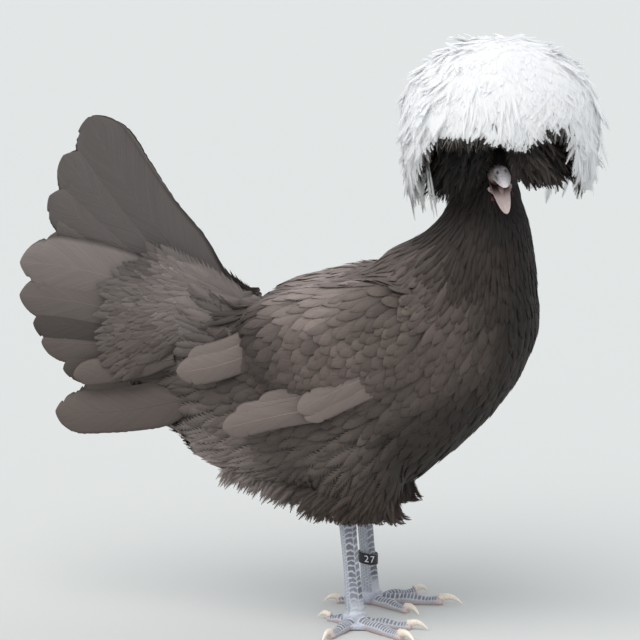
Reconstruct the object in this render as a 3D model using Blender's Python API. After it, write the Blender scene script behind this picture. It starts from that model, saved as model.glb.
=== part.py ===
"""A white-crested Polish hen, life size, standing in profile with its head turned to its right side."""

import math

import bmesh
import bpy
import numpy as np
from mathutils import Matrix, Vector

# The hen faces +X, its left side is +Y and the floor is z = 0. All sizes are in metres.
GAP = 0.00045

# Body outline: (x, back height, belly height, half width) from the vent to the breast.
BODY_STATIONS = (
    (-0.100, 0.212, 0.132, 0.020),
    (-0.084, 0.225, 0.114, 0.034),
    (-0.052, 0.237, 0.101, 0.047),
    (-0.010, 0.250, 0.091, 0.057),
    (0.028, 0.259, 0.087, 0.062),
    (0.066, 0.268, 0.096, 0.064),
    (0.100, 0.276, 0.119, 0.062),
    (0.130, 0.279, 0.147, 0.055),
    (0.150, 0.274, 0.172, 0.046),
    (0.162, 0.260, 0.195, 0.034),
    (0.1685, 0.244, 0.213, 0.018),
)
BODY_NOSE = 0.0015
BODY_WIDEST = 0.55

# Neck with its hackle: (z, nape x, throat x, half width) from inside the breast to the skull.
NECK_STATIONS = (
    (0.205, 0.075, 0.160, 0.044),
    (0.240, 0.052, 0.1690, 0.052),
    (0.262, 0.046, 0.1685, 0.048),
    (0.279, 0.068, 0.166, 0.042),
    (0.297, 0.089, 0.163, 0.036),
    (0.315, 0.099, 0.1565, 0.027),
    (0.334, 0.105, 0.151, 0.019),
)
NECK_BASE = Vector((0.110, 0.0, 0.259))
NECK_BASE_UP = Vector((0.27, 0.0, 0.96))

# Head: a skull turned to the right, with dark face feathers and a round white crest.
HEAD_YAW = math.radians(-70)
HEAD_PITCH = math.radians(-8)
HEAD_ROLL = math.radians(10)
SKULL_CENTRE = Vector((0.134, 0.000, 0.343))
SKULL_RADII = (0.028, 0.017, 0.021)
BRIM_RADII = (0.024, 0.053, 0.026)
CREST_CENTRE = Vector((0.1375, 0.000, 0.369))
CREST_HALF_LENGTH = 0.0765
CREST_HALF_WIDTH = 0.0730
CREST_RISE = 0.067
CREST_DROP = 0.096
CREST_HEM_Z = 0.309
CREST_LOCKS = 13
CREST_LOCK_DEPTH = 0.035
FACE_ARCH_AHEAD = 0.055
FACE_ARCH_DROP = 0.030
FACE_ARCH_DEPTH = 0.062
FACE_ARCH_HALF_WIDTH = 0.054
FACE_ARCH_TOP = 0.017
EYE_RADIUS = 0.0045
EYE_PLACE = (0.012, 0.0150, 0.003)
BEAK_BASE = (0.0225, -0.002)
UPPER_BEAK_LENGTH = 0.024
LOWER_BEAK_LENGTH = 0.028
GAPE_ANGLE = math.radians(49)
WATTLE_PLACE = (0.0270, 0.0095, -0.0175)
WATTLE_RADII = (0.0026, 0.0018, 0.0042)

# Tail: the covert wedge by (x, top, bottom, half width), then paired stiff feathers in a tented fan.
COVERT_STATIONS = (
    (-0.050, 0.232, 0.130, 0.040),
    (-0.075, 0.258, 0.124, 0.034),
    (-0.098, 0.274, 0.131, 0.028),
    (-0.124, 0.271, 0.141, 0.021),
    (-0.141, 0.261, 0.160, 0.015),
    (-0.151, 0.245, 0.190, 0.009),
)
COVERT_NOSE = 0.003
RIDGE_FOOT = Vector((-0.052, 0.0, 0.238))
RIDGE_ANGLE = math.radians(131)
TENT_ANGLE = math.radians(11)
RIDGE_HALF_WIDTH = 0.0125
LAYER_PITCH = 0.0016
FEATHER_THICKNESS = 0.0012
# Each stiff feather: (root x, root z, tip x, tip z, width, bow, layer counted inwards).
TAIL_FEATHERS = (
    (-0.070, 0.220, -0.163, 0.371, 0.036, 0.009, 3),
    (-0.074, 0.215, -0.177, 0.344, 0.036, 0.009, 4),
    (-0.076, 0.208, -0.194, 0.304, 0.034, 0.008, 5),
    (-0.078, 0.200, -0.214, 0.264, 0.046, 0.008, 0),
    (-0.080, 0.190, -0.214, 0.232, 0.036, 0.003, 1),
    (-0.080, 0.178, -0.198, 0.197, 0.034, 0.000, 2),
    (-0.078, 0.160, -0.188, 0.147, 0.032, -0.003, 6),
)

# Wings: a shield of coverts on each flank, with folded flight feathers below and behind it.
WING_CENTRE = Vector((0.026, 0.050, 0.212))
WING_RADII = (0.074, 0.025, 0.051)
WING_SLOPE = math.radians(7)
# Flight bundles: (front x, y, z), (tip x, y, z), height, thickness.
PRIMARIES = ((0.078, 0.0640, 0.186), (-0.054, 0.0600, 0.153), 0.034, 0.0050)
TERTIALS = ((-0.004, 0.0640, 0.222), (-0.090, 0.0470, 0.190), 0.028, 0.0040)

# Legs: fluffed thighs by (z, centre x, half length, half width), and bare scaled shanks.
FOOT_Y = 0.036
THIGH_STATIONS = (
    (0.150, 0.030, 0.040, 0.026),
    (0.128, 0.034, 0.042, 0.030),
    (0.108, 0.038, 0.037, 0.028),
    (0.092, 0.041, 0.031, 0.024),
    (0.082, 0.042, 0.023, 0.019),
    (0.077, 0.042, 0.013, 0.011),
)
HOCK_X = 0.030
ANKLE_X = 0.0375
HOCK_Z = 0.098
ANKLE_Z = 0.012
SHANK_RADII = (0.0070, 0.0054, 0.0052, 0.0062)
PAD_RADII = (0.0095, 0.0090, 0.0078)
PAD_CENTRE_Z = 0.0058
TOE_RADIUS = 0.0052
TOE_SINK = 0.0011
KNUCKLES = 2
KNUCKLE_SWELL = 0.10
# Each toe: name, heading out from straight ahead in degrees, length, thickness, claw length.
TOES = (
    ("middle_toe", (-42, 4), 0.052, 1.00, 0.0165),
    ("inner_toe", (-6, -40), 0.040, 0.90, 0.0145),
    ("outer_toe", (-106, 46), 0.041, 0.90, 0.0130),
    ("hind_toe", (150, 190), 0.023, 0.80, 0.0115),
)

# The plastic ring on the left shank.
BAND_Z = 0.037
BAND_HEIGHT = 0.0075
BAND_THICKNESS = 0.0009

COLOURS = {
    "plumage": ((0.100, 0.075, 0.062), 0.75),
    "tail_plumage": ((0.150, 0.125, 0.115), 0.70),
    "crest": ((0.860, 0.880, 0.900), 0.80),
    "face": ((0.018, 0.014, 0.012), 0.85),
    "beak": ((0.640, 0.540, 0.530), 0.45),
    "mouth": ((0.300, 0.160, 0.170), 0.40),
    "eye": ((0.250, 0.060, 0.020), 0.08),
    "wattle": ((0.320, 0.050, 0.050), 0.50),
    "shank": ((0.260, 0.290, 0.340), 0.55),
    "claw": ((0.780, 0.660, 0.540), 0.40),
    "band": ((0.010, 0.012, 0.016), 0.35),
}


def clear_scene():
    for obj in list(bpy.data.objects):
        bpy.data.objects.remove(obj, do_unlink=True)


def material(name):
    """The Principled material of one finish, made the first time it is asked for."""
    found = bpy.data.materials.get(name)
    if found:
        return found
    colour, roughness = COLOURS[name]
    made = bpy.data.materials.new(name)
    made.use_nodes = True
    shader = made.node_tree.nodes["Principled BSDF"]
    shader.inputs["Base Color"].default_value = (*colour, 1.0)
    shader.inputs["Roughness"].default_value = roughness
    shader.inputs["Metallic"].default_value = 0.0
    made.diffuse_color = (*colour, 1.0)
    return made


def smooth_reader(stations):
    """A function that reads every column of the stations at a position, on smooth curves."""
    table = np.array(stations, dtype=float)
    table = table[np.argsort(table[:, 0])]
    places, values = table[:, 0], table[:, 1:]
    slopes = np.gradient(values, places, axis=0)

    def read(position):
        index = int(np.clip(np.searchsorted(places, position) - 1, 0, len(places) - 2))
        width = places[index + 1] - places[index]
        t = (position - places[index]) / width
        start = (1 + 2 * t) * (1 - t) ** 2 * values[index]
        start = start + t * (1 - t) ** 2 * width * slopes[index]
        end = t * t * (3 - 2 * t) * values[index + 1]
        return start + end + t * t * (t - 1) * width * slopes[index + 1]

    return read


def add_object(name, bm, finish):
    bmesh.ops.recalc_face_normals(bm, faces=bm.faces)
    mesh = bpy.data.meshes.new(name)
    bm.to_mesh(mesh)
    bm.free()
    mesh.materials.append(material(finish))
    obj = bpy.data.objects.new(name, mesh)
    bpy.context.collection.objects.link(obj)
    return obj


def skin_rings(rings, first_pole=None, last_pole=None):
    """A closed mesh through equal rings of points, with a pole or a flat face at each end."""
    bm = bmesh.new()
    loops = [[bm.verts.new(point) for point in ring] for ring in rings]
    count = len(loops[0])
    for here, after in zip(loops, loops[1:]):
        for k in range(count):
            turn = (k + 1) % count
            bm.faces.new((here[k], here[turn], after[turn], after[k]))
    for loop, pole in ((loops[0], first_pole), (loops[-1], last_pole)):
        if pole is None:
            bm.faces.new(loop)
            continue
        tip = bm.verts.new(pole)
        for k in range(count):
            bm.faces.new((loop[k], loop[(k + 1) % count], tip))
    return bm


def oval(centre, across, up, half_width, rise, drop, sides, squareness=2.0):
    """A ring of points round an oval whose upper and lower halves may differ."""
    points = []
    for k in range(sides):
        angle = 2 * math.pi * k / sides
        c, s = math.cos(angle), math.sin(angle)
        c = math.copysign(abs(c) ** (2 / squareness), c)
        s = math.copysign(abs(s) ** (2 / squareness), s)
        points.append(centre + across * (half_width * c) + up * ((rise if s > 0 else drop) * s))
    return points


def body_loft(name, finish, stations, nose, widest, count, sides):
    """A body stretched along X through upright sections, rounded off at both ends."""
    read = smooth_reader(stations)
    ends = sorted((stations[0][0], stations[-1][0]))
    rings = []
    for k in range(count):
        share = (1 - math.cos(math.pi * k / (count - 1))) / 2
        x = ends[0] + (ends[1] - ends[0]) * share
        top, bottom, half = read(x)
        middle = bottom + (top - bottom) * widest
        centre = Vector((x, 0, middle))
        rings.append(oval(centre, Vector((0, 1, 0)), Vector((0, 0, 1)), half, top - middle,
                          middle - bottom, sides, 2.15))
    poles = []
    for x, way in ((ends[0], -1), (ends[1], 1)):
        top, bottom, half = read(x)
        poles.append(Vector((x + way * nose, 0, bottom + (top - bottom) * widest)))
    return add_object(name, skin_rings(rings, poles[0], poles[1]), finish)


def neck_loft(name, finish, count, sides):
    read = smooth_reader(NECK_STATIONS)
    low, high = NECK_STATIONS[0][0], NECK_STATIONS[-1][0]
    rings = []
    for k in range(count):
        z = low + (high - low) * k / (count - 1)
        nape, throat, half = read(z)
        centre = Vector(((nape + throat) / 2, 0, z))
        reach = (throat - nape) / 2
        rings.append(oval(centre, Vector((1, 0, 0)), Vector((0, 1, 0)), reach, half, half, sides))
    return add_object(name, skin_rings(rings), finish)


def ball(name, finish, centre, axes, radii, sides, rows):
    """An ellipsoid on three axes. The third axis runs from pole to pole."""
    rings = []
    for row in range(1, rows):
        tilt = math.pi * row / rows
        ring = []
        for k in range(sides):
            turn = 2 * math.pi * k / sides
            way = (math.sin(tilt) * math.cos(turn), math.sin(tilt) * math.sin(turn), -math.cos(tilt))
            ring.append(centre + sum((a * (r * w) for a, r, w in zip(axes, radii, way)), Vector()))
        rings.append(ring)
    low = centre - axes[2] * radii[2]
    high = centre + axes[2] * radii[2]
    return add_object(name, skin_rings(rings, low, high), finish)


def replace_mesh(obj, mesh):
    old = obj.data
    obj.data = mesh
    bpy.data.meshes.remove(old)


def combine(obj, other, operation):
    """Apply one Boolean to the object with the other one."""
    step = obj.modifiers.new(operation, "BOOLEAN")
    step.operation = operation
    step.object = other
    graph = bpy.context.evaluated_depsgraph_get()
    mesh = bpy.data.meshes.new_from_object(obj.evaluated_get(graph))
    obj.modifiers.clear()
    replace_mesh(obj, mesh)


def remove(obj):
    bpy.data.objects.remove(obj, do_unlink=True)


def grown_copy(obj, margin):
    """A cutter: the object's own surface moved outwards by the margin."""
    bm = bmesh.new()
    bm.from_mesh(obj.data)
    bmesh.ops.remove_doubles(bm, verts=bm.verts, dist=0.00005)
    bm.normal_update()
    moved = [vert.co + vert.normal * margin for vert in bm.verts]
    for vert, place in zip(bm.verts, moved):
        vert.co = place
    mesh = bpy.data.meshes.new(obj.name + "_cutter")
    bm.to_mesh(mesh)
    bm.free()
    cutter = bpy.data.objects.new(mesh.name, mesh)
    cutter.hide_render = True
    cutter.display_type = "WIRE"
    bpy.context.collection.objects.link(cutter)
    return cutter


def form_of(obj):
    """The cutter of an object, made from its plain shape the first time it is asked for."""
    return bpy.data.objects.get(obj.name + "_cutter") or grown_copy(obj, GAP)


def carve(obj, *neighbours):
    """Cut the object back from its neighbours, so that they meet with a thin gap."""
    form_of(obj)
    for neighbour in neighbours:
        combine(obj, form_of(neighbour), "DIFFERENCE")
    keep_largest(obj)


def clear_cutters():
    for obj in list(bpy.data.objects):
        if obj.name.endswith("_cutter"):
            remove(obj)


def pieces_of(bm):
    """The connected groups of faces in a mesh."""
    left = set(bm.faces)
    groups = []
    while left:
        front = [left.pop()]
        group = list(front)
        while front:
            face = front.pop()
            for edge in face.edges:
                for other in edge.link_faces:
                    if other in left:
                        left.remove(other)
                        front.append(other)
                        group.append(other)
        groups.append(group)
    return groups


def size_of(faces):
    points = np.array([vert.co for face in faces for vert in face.verts])
    return float(np.prod(points.max(axis=0) - points.min(axis=0)))


def keep_largest(obj):
    """Drop the crumbs that a cut leaves, and keep the main piece."""
    bm = bmesh.new()
    bm.from_mesh(obj.data)
    bmesh.ops.remove_doubles(bm, verts=bm.verts, dist=0.00002)
    bmesh.ops.dissolve_degenerate(bm, edges=bm.edges, dist=0.00002)
    groups = sorted(pieces_of(bm), key=size_of)
    crumbs = [face for group in groups[:-1] for face in group]
    if crumbs:
        bmesh.ops.delete(bm, geom=crumbs, context="FACES")
    bm.to_mesh(obj.data)
    bm.free()


def keep_side(obj, point, normal):
    """Cut the object by a plane and keep the side that the normal points to."""
    bm = bmesh.new()
    bm.from_mesh(obj.data)
    everything = list(bm.verts) + list(bm.edges) + list(bm.faces)
    cut = bmesh.ops.bisect_plane(bm, geom=everything, plane_co=point, plane_no=normal,
                                 clear_inner=True, clear_outer=False)
    rim = [part for part in cut["geom_cut"] if isinstance(part, bmesh.types.BMEdge)]
    bmesh.ops.edgeloop_fill(bm, edges=rim)
    bmesh.ops.recalc_face_normals(bm, faces=bm.faces)
    bm.to_mesh(obj.data)
    bm.free()


def copy_of(obj, name):
    twin = bpy.data.objects.new(name, obj.data.copy())
    bpy.context.collection.objects.link(twin)
    return twin


def head_axes():
    """Forward, left and up for the turned head."""
    turn = Matrix.Rotation(HEAD_YAW, 3, "Z") @ Matrix.Rotation(-HEAD_PITCH, 3, "Y")
    turn = turn @ Matrix.Rotation(HEAD_ROLL, 3, "X")
    return tuple(turn.col[k].copy() for k in range(3))


def head_point(forward, left, up):
    axes = head_axes()
    return SKULL_CENTRE + axes[0] * forward + axes[1] * left + axes[2] * up


def make_body():
    """Trunk and neck, modelled whole and parted across the base of the neck."""
    trunk = body_loft("trunk", "plumage", BODY_STATIONS, BODY_NOSE, BODY_WIDEST, 14, 18)
    neck = neck_loft("neck", "plumage", 9, 18)
    combine(trunk, neck, "UNION")
    remove(neck)
    neck = copy_of(trunk, "neck")
    half_gap = NECK_BASE_UP.normalized() * (GAP / 2)
    keep_side(trunk, NECK_BASE - half_gap, -NECK_BASE_UP)
    keep_side(neck, NECK_BASE + half_gap, NECK_BASE_UP)
    return trunk, neck


def beak_half(name, finish, base, along, side, up, length, width, rise, drop, hook):
    """One mandible: sections that shrink to the tip, bent by the hook."""
    rings = []
    shares = (0.0, 0.22, 0.45, 0.68, 0.87)
    for share in shares:
        taper = math.sqrt(1 - share ** 2.2)
        centre = base + along * (length * share) - up * (hook * share * share)
        rings.append(oval(centre, side, up, width * taper, rise * taper, drop * taper, 12))
    tip = base + along * length - up * hook
    return add_object(name, skin_rings(rings, base - along * 0.0035, tip), finish)


def make_crest():
    """The white crest: a round mop that hangs like a bell, with locks round its outline."""
    fall = CREST_CENTRE.z - CREST_HEM_Z
    levels = [-fall, -fall * 0.6, -fall * 0.28, 0.0]
    levels += [CREST_RISE * math.sin(math.pi / 2 * share) for share in (0.22, 0.42, 0.60, 0.76, 0.89)]
    sides = 2 * CREST_LOCKS
    rings = []
    for row, level in enumerate(levels):
        reach = math.sqrt(1 - (level / (CREST_RISE if level > 0 else CREST_DROP)) ** 2)
        ring = []
        for k in range(sides):
            turn = 2 * math.pi * (k + 0.5 * (row % 2)) / sides
            size = reach * (1 + CREST_LOCK_DEPTH * math.cos(CREST_LOCKS * turn))
            offset = (CREST_HALF_LENGTH * size * math.cos(turn), CREST_HALF_WIDTH * size * math.sin(turn))
            ring.append(CREST_CENTRE + Vector((*offset, level)))
        rings.append(ring)
    top = CREST_CENTRE + Vector((0, 0, CREST_RISE))
    return add_object("crest", skin_rings(rings, None, top), "crest")


def make_head(neck):
    """Skull, eyes, open beak, wattles, dark face feathers and the white crest."""
    forward, left, up = head_axes()
    head = ball("head", "face", SKULL_CENTRE, (left, up, forward),
                (SKULL_RADII[1], SKULL_RADII[2], SKULL_RADII[0]), 14, 9)
    carve(head, neck)

    eyes = []
    for name, side in (("eye_left", 1), ("eye_right", -1)):
        place = head_point(EYE_PLACE[0], side * EYE_PLACE[1], EYE_PLACE[2])
        eyes.append(ball(name, "eye", place, (forward, up, left), (EYE_RADIUS,) * 3, 10, 7))

    base = head_point(BEAK_BASE[0], 0, BEAK_BASE[1])
    upper = beak_half("beak_upper", "beak", base + up * 0.0010, forward, left, up, UPPER_BEAK_LENGTH,
                      0.0060, 0.0078, 0.0024, 0.0088)
    drop = Matrix.Rotation(GAPE_ANGLE, 3, left)
    jaw, jaw_up = drop @ forward, drop @ up
    hinge = base - up * 0.0062 - forward * 0.0010
    lower = beak_half("beak_lower", "beak", hinge - jaw_up * 0.0022, jaw, left, jaw_up,
                      LOWER_BEAK_LENGTH, 0.0052, 0.0012, 0.0040, -0.0010)
    tongue = beak_half("tongue", "mouth", hinge + jaw_up * 0.0016, jaw, left, jaw_up, 0.0150,
                       0.0028, 0.0011, 0.0011, 0.0006)
    carve(tongue, lower)
    carve(upper, lower, tongue)

    wattles = []
    for name, side in (("wattle_left", 1), ("wattle_right", -1)):
        place = head_point(WATTLE_PLACE[0], side * WATTLE_PLACE[1], WATTLE_PLACE[2])
        wattles.append(ball(name, "wattle", place, (forward, left, up), WATTLE_RADII, 8, 6))

    carve(head, *eyes)
    for piece in (upper, lower, tongue, *wattles):
        carve(piece, head, neck)
    for wattle in wattles:
        carve(wattle, lower)

    brim = ball("face_feathers", "face", SKULL_CENTRE, (left, forward, up),
                (BRIM_RADII[1], BRIM_RADII[0], BRIM_RADII[2]), 18, 9)
    carve(brim, neck, head, upper, lower, tongue, *eyes, *wattles)

    crest = make_crest()
    arch_axis = Vector((math.cos(HEAD_YAW), math.sin(HEAD_YAW), 0))
    arch_side = Vector((-arch_axis.y, arch_axis.x, 0))
    arch_centre = SKULL_CENTRE + arch_axis * FACE_ARCH_AHEAD - Vector((0, 0, FACE_ARCH_DROP))
    arch = ball("face_arch", "crest", arch_centre,
                (arch_side, arch_axis, Vector((0, 0, 1))),
                (FACE_ARCH_HALF_WIDTH, FACE_ARCH_DEPTH, FACE_ARCH_DROP + FACE_ARCH_TOP), 18, 10)
    carve(crest, arch, brim, head, neck)
    remove(arch)
    return [head, upper, lower, tongue, brim, crest, *eyes, *wattles]


def fan_point(x, z, side, layer, depth):
    """A point of the tail fan: each half is a plane that leans outwards from the ridge."""
    ridge = Vector((math.cos(RIDGE_ANGLE), 0, math.sin(RIDGE_ANGLE)))
    below = Vector((-ridge.z, 0, ridge.x))
    reach = (Vector((x, 0, z)) - RIDGE_FOOT).dot(below)
    y = RIDGE_HALF_WIDTH + max(reach, -0.020) * math.tan(TENT_ANGLE) - layer * LAYER_PITCH - depth
    return Vector((x, side * y, z))


def tail_feather(name, side, root_x, root_z, tip_x, tip_z, width, bow, layer):
    """One stiff tail feather: a bowed blade with a round tip, as a thin plate."""
    root, tip = Vector((root_x, root_z)), Vector((tip_x, tip_z))
    run = tip - root
    across = Vector((run.y, -run.x)).normalized()
    rings = []
    count = 9
    for k in range(count):
        share = math.sin(math.pi / 2 * k / count)
        centre = root + run * share + across * (4 * bow * share * (1 - share))
        blade = min(1.0, 0.42 + 0.85 * share) * math.sqrt(max(0.0, 1 - share ** 6))
        half = width / 2 * blade
        ring = []
        for edge, depth in ((1, 0), (-1, 0), (-1, FEATHER_THICKNESS), (1, FEATHER_THICKNESS)):
            point = centre + across * (edge * half)
            ring.append(fan_point(point.x, point.y, side, layer, depth))
        rings.append(ring)
    end = fan_point(tip.x, tip.y, side, layer, FEATHER_THICKNESS / 2)
    return add_object(name, skin_rings(rings, None, end), "tail_plumage")


def make_tail(trunk):
    coverts = body_loft("tail_coverts", "tail_plumage", COVERT_STATIONS, COVERT_NOSE, 0.5, 9, 14)
    carve(coverts, trunk)
    feathers = []
    for word, side in (("left", 1), ("right", -1)):
        for number, feather in enumerate(TAIL_FEATHERS, start=1):
            name = "tail_feather_%s_%d" % (word, number)
            blade = tail_feather(name, side, *feather)
            carve(blade, coverts, trunk)
            feathers.append(blade)
    return [coverts, *feathers]


def flight_bundle(name, side, front, tip, height, thickness):
    """Folded flight feathers: a long flat blade with a rounded tip."""
    start = Vector((front[0], side * front[1], front[2]))
    end = Vector((tip[0], side * tip[1], tip[2]))
    run = end - start
    out = Vector((0, side, 0))
    up = out.cross(run).normalized()
    up = up if up.z > 0 else -up
    rings = []
    count = 9
    for k in range(count):
        share = math.sin(math.pi / 2 * k / count)
        blade = (0.75 + 0.25 * share) * math.sqrt(max(0.0, 1 - share ** 7))
        centre = start + run * share
        rings.append(oval(centre, out, up, thickness / 2 * (0.35 + 0.65 * blade), height / 2 * blade,
                          height / 2 * blade, 8))
    return add_object(name, skin_rings(rings, None, end), "tail_plumage")


def make_wings(trunk, neck, coverts):
    made = []
    for word, side in (("left", 1), ("right", -1)):
        turn = Matrix.Rotation(WING_SLOPE, 3, "Y")
        axes = (turn.col[0].copy(), turn.col[2].copy(), Vector((0, 1, 0)))
        centre = Vector((WING_CENTRE.x, side * WING_CENTRE.y, WING_CENTRE.z))
        wing = ball("wing_" + word, "plumage", centre, axes,
                    (WING_RADII[0], WING_RADII[2], WING_RADII[1]), 22, 10)
        carve(wing, trunk, neck)
        primaries = flight_bundle("primaries_" + word, side, *PRIMARIES)
        tertials = flight_bundle("tertials_" + word, side, *TERTIALS)
        carve(primaries, wing, trunk)
        carve(tertials, wing, trunk, coverts, primaries)
        made += [wing, primaries, tertials]
    return made


def make_thigh(word, side, trunk, wing_parts):
    read = smooth_reader(THIGH_STATIONS)
    rings = []
    count = 8
    high, low = THIGH_STATIONS[0][0], THIGH_STATIONS[-1][0]
    for k in range(count):
        z = high + (low - high) * math.sin(math.pi / 2 * k / (count - 1))
        x, reach, half = read(z)
        rings.append(oval(Vector((x, side * FOOT_Y, z)), Vector((1, 0, 0)), Vector((0, 1, 0)),
                          reach, half, half, 16))
    foot = Vector((THIGH_STATIONS[-1][1], side * FOOT_Y, low - 0.0015))
    thigh = add_object("thigh_" + word, skin_rings(rings, None, foot), "plumage")
    carve(thigh, trunk, *wing_parts)
    return thigh


def make_shank(word, side, thigh):
    """Bare shank on a foot pad with a small flat underneath."""
    rings = []
    count = 7
    for k in range(count):
        share = k / (count - 1)
        x = HOCK_X + (ANKLE_X - HOCK_X) * share
        z = HOCK_Z + (ANKLE_Z - HOCK_Z) * share
        radius = float(np.interp(share, np.linspace(0, 1, len(SHANK_RADII)), SHANK_RADII))
        centre = Vector((x, side * FOOT_Y, z))
        rings.append(oval(centre, Vector((1, 0, 0)), Vector((0, 1, 0)), radius * 1.12, radius * 0.94,
                          radius * 0.94, 10))
    shank = add_object("shank_" + word, skin_rings(rings), "shank")
    pad_centre = Vector((ANKLE_X, side * FOOT_Y, PAD_CENTRE_Z))
    world = (Vector((1, 0, 0)), Vector((0, 1, 0)), Vector((0, 0, 1)))
    pad = ball("pad", "shank", pad_centre, world, PAD_RADII, 12, 6)
    combine(shank, pad, "UNION")
    remove(pad)
    keep_side(shank, Vector((0, 0, 0)), Vector((0, 0, 1)))
    carve(shank, thigh)
    return shank


def make_toe(name, root, way, length, thickness):
    """A toe with a soft swelling at each joint and a flat along its underside."""
    side = Vector((-way.y, way.x, 0))
    up = Vector((0, 0, 1))
    rings = []
    count = 9
    for k in range(count):
        share = k / (count - 1)
        knuckle = 1 + KNUCKLE_SWELL * math.cos(2 * math.pi * KNUCKLES * share)
        radius = TOE_RADIUS * thickness * (1 - 0.34 * share) * knuckle
        lift = radius - TOE_SINK
        centre = root + way * (length * share) + up * lift
        rings.append(oval(centre, side, up, radius, radius, radius, 8))
    radius = TOE_RADIUS * thickness * 0.66
    end = root + way * (length + 0.0025) + up * (radius - TOE_SINK)
    toe = add_object(name, skin_rings(rings, None, end), "shank")
    keep_side(toe, Vector((0, 0, 0)), Vector((0, 0, 1)))
    return toe


def make_claw(name, root, way, length, radius):
    """A horn claw that curves down from the toe's end and stops just above the floor."""
    side = Vector((-way.y, way.x, 0))
    up = Vector((0, 0, 1))
    rings = []
    start = root + up * (radius * 1.75)
    fall = start.z - 0.0006
    for share in (0.0, 0.25, 0.5, 0.72, 0.9):
        bend = share ** 2.0
        centre = start + way * (length * share) + up * (0.0015 * math.sin(math.pi * share) - fall * bend)
        size = radius * (1 - share) ** 0.6
        centre.z = max(centre.z, size * 1.15 + 0.0004)
        rings.append(oval(centre, side, up, size * 0.82, size * 1.1, size * 1.1, 7))
    tip = start + way * length - up * fall
    return add_object(name, skin_rings(rings, None, tip), "claw")


def make_foot(word, side, shank):
    made = []
    for name, headings, length, thickness, claw in TOES:
        heading = math.radians(headings[1] if side > 0 else headings[0])
        way = Vector((math.cos(heading), math.sin(heading), 0))
        ankle = Vector((ANKLE_X, side * FOOT_Y, 0))
        root = ankle + way * 0.003
        toe = make_toe(name + "_" + word, root, way, length, thickness)
        carve(toe, shank, *[piece for piece in made if piece.name.find("claw") < 0])
        nail = make_claw(name + "_claw_" + word, root + way * (length - 0.0015), way, claw,
                         TOE_RADIUS * thickness * 0.56)
        carve(nail, toe)
        made += [toe, nail]
    return made


def make_band(side):
    """A plain plastic ring that hangs loose on the shank."""
    share = (HOCK_Z - BAND_Z) / (HOCK_Z - ANKLE_Z)
    x = HOCK_X + (ANKLE_X - HOCK_X) * share
    radius = float(np.interp(share, np.linspace(0, 1, len(SHANK_RADII)), SHANK_RADII))
    inner = radius * 1.12 + 0.0008
    outer = inner + BAND_THICKNESS
    half = BAND_HEIGHT / 2
    rings = []
    count = 20
    for k in range(count):
        angle = 2 * math.pi * k / count
        way = Vector((math.cos(angle), math.sin(angle), 0))
        centre = Vector((x, side * FOOT_Y, BAND_Z))
        ring = []
        for reach, level in ((inner, -half), (outer, -half), (outer, half), (inner, half)):
            ring.append(centre + way * reach + Vector((0, 0, level)))
        rings.append(ring)
    bm = bmesh.new()
    loops = [[bm.verts.new(point) for point in ring] for ring in rings]
    for k in range(count):
        here, after = loops[k], loops[(k + 1) % count]
        for j in range(4):
            bm.faces.new((here[j], after[j], after[(j + 1) % 4], here[(j + 1) % 4]))
    return add_object("leg_band", bm, "band")


def set_origins(objects):
    """Give each piece its own origin, and hang all from one empty that centres the hen over z = 0."""
    hen = bpy.data.objects.new("hen", None)
    bpy.context.collection.objects.link(hen)
    lows, highs = [], []
    for obj in objects:
        corners = np.array([vert.co for vert in obj.data.vertices])
        lows.append(corners.min(axis=0))
        highs.append(corners.max(axis=0))
        middle = Vector((lows[-1] + highs[-1]) / 2)
        obj.data.transform(Matrix.Translation(-middle))
        obj.location = middle
        obj.parent = hen
        obj.data.shade_smooth()
        obj.data.set_sharp_from_angle(angle=math.radians(40))
    centre = (np.min(lows, axis=0) + np.max(highs, axis=0)) / 2
    hen.location = (-centre[0], -centre[1], 0)


def build_hen():
    clear_scene()
    trunk, neck = make_body()
    head_parts = make_head(neck)
    tail_parts = make_tail(trunk)
    wing_parts = make_wings(trunk, neck, tail_parts[0])
    pieces = [trunk, neck, *head_parts, *tail_parts, *wing_parts]
    for word, side in (("left", 1), ("right", -1)):
        thigh = make_thigh(word, side, trunk, wing_parts)
        shank = make_shank(word, side, thigh)
        pieces += [thigh, shank, *make_foot(word, side, shank)]
    pieces.append(make_band(1))
    clear_cutters()
    set_origins(pieces)


build_hen()
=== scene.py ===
# %% [markdown]
# A white crested hen, standing with its head turned to the viewer.
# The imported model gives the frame: the solids of the flesh are read from it and melted
# into one skin. Over and around that skin this lesson builds a coat of feathers, the
# crest, the big feathers of wing and tail, the beak, the legs and the leg ring.
# Lengths are metres, and the hen faces +X with its left side towards +Y.

import math

import bpy
import numpy as np
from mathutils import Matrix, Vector
from mathutils.bvhtree import BVHTree


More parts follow.
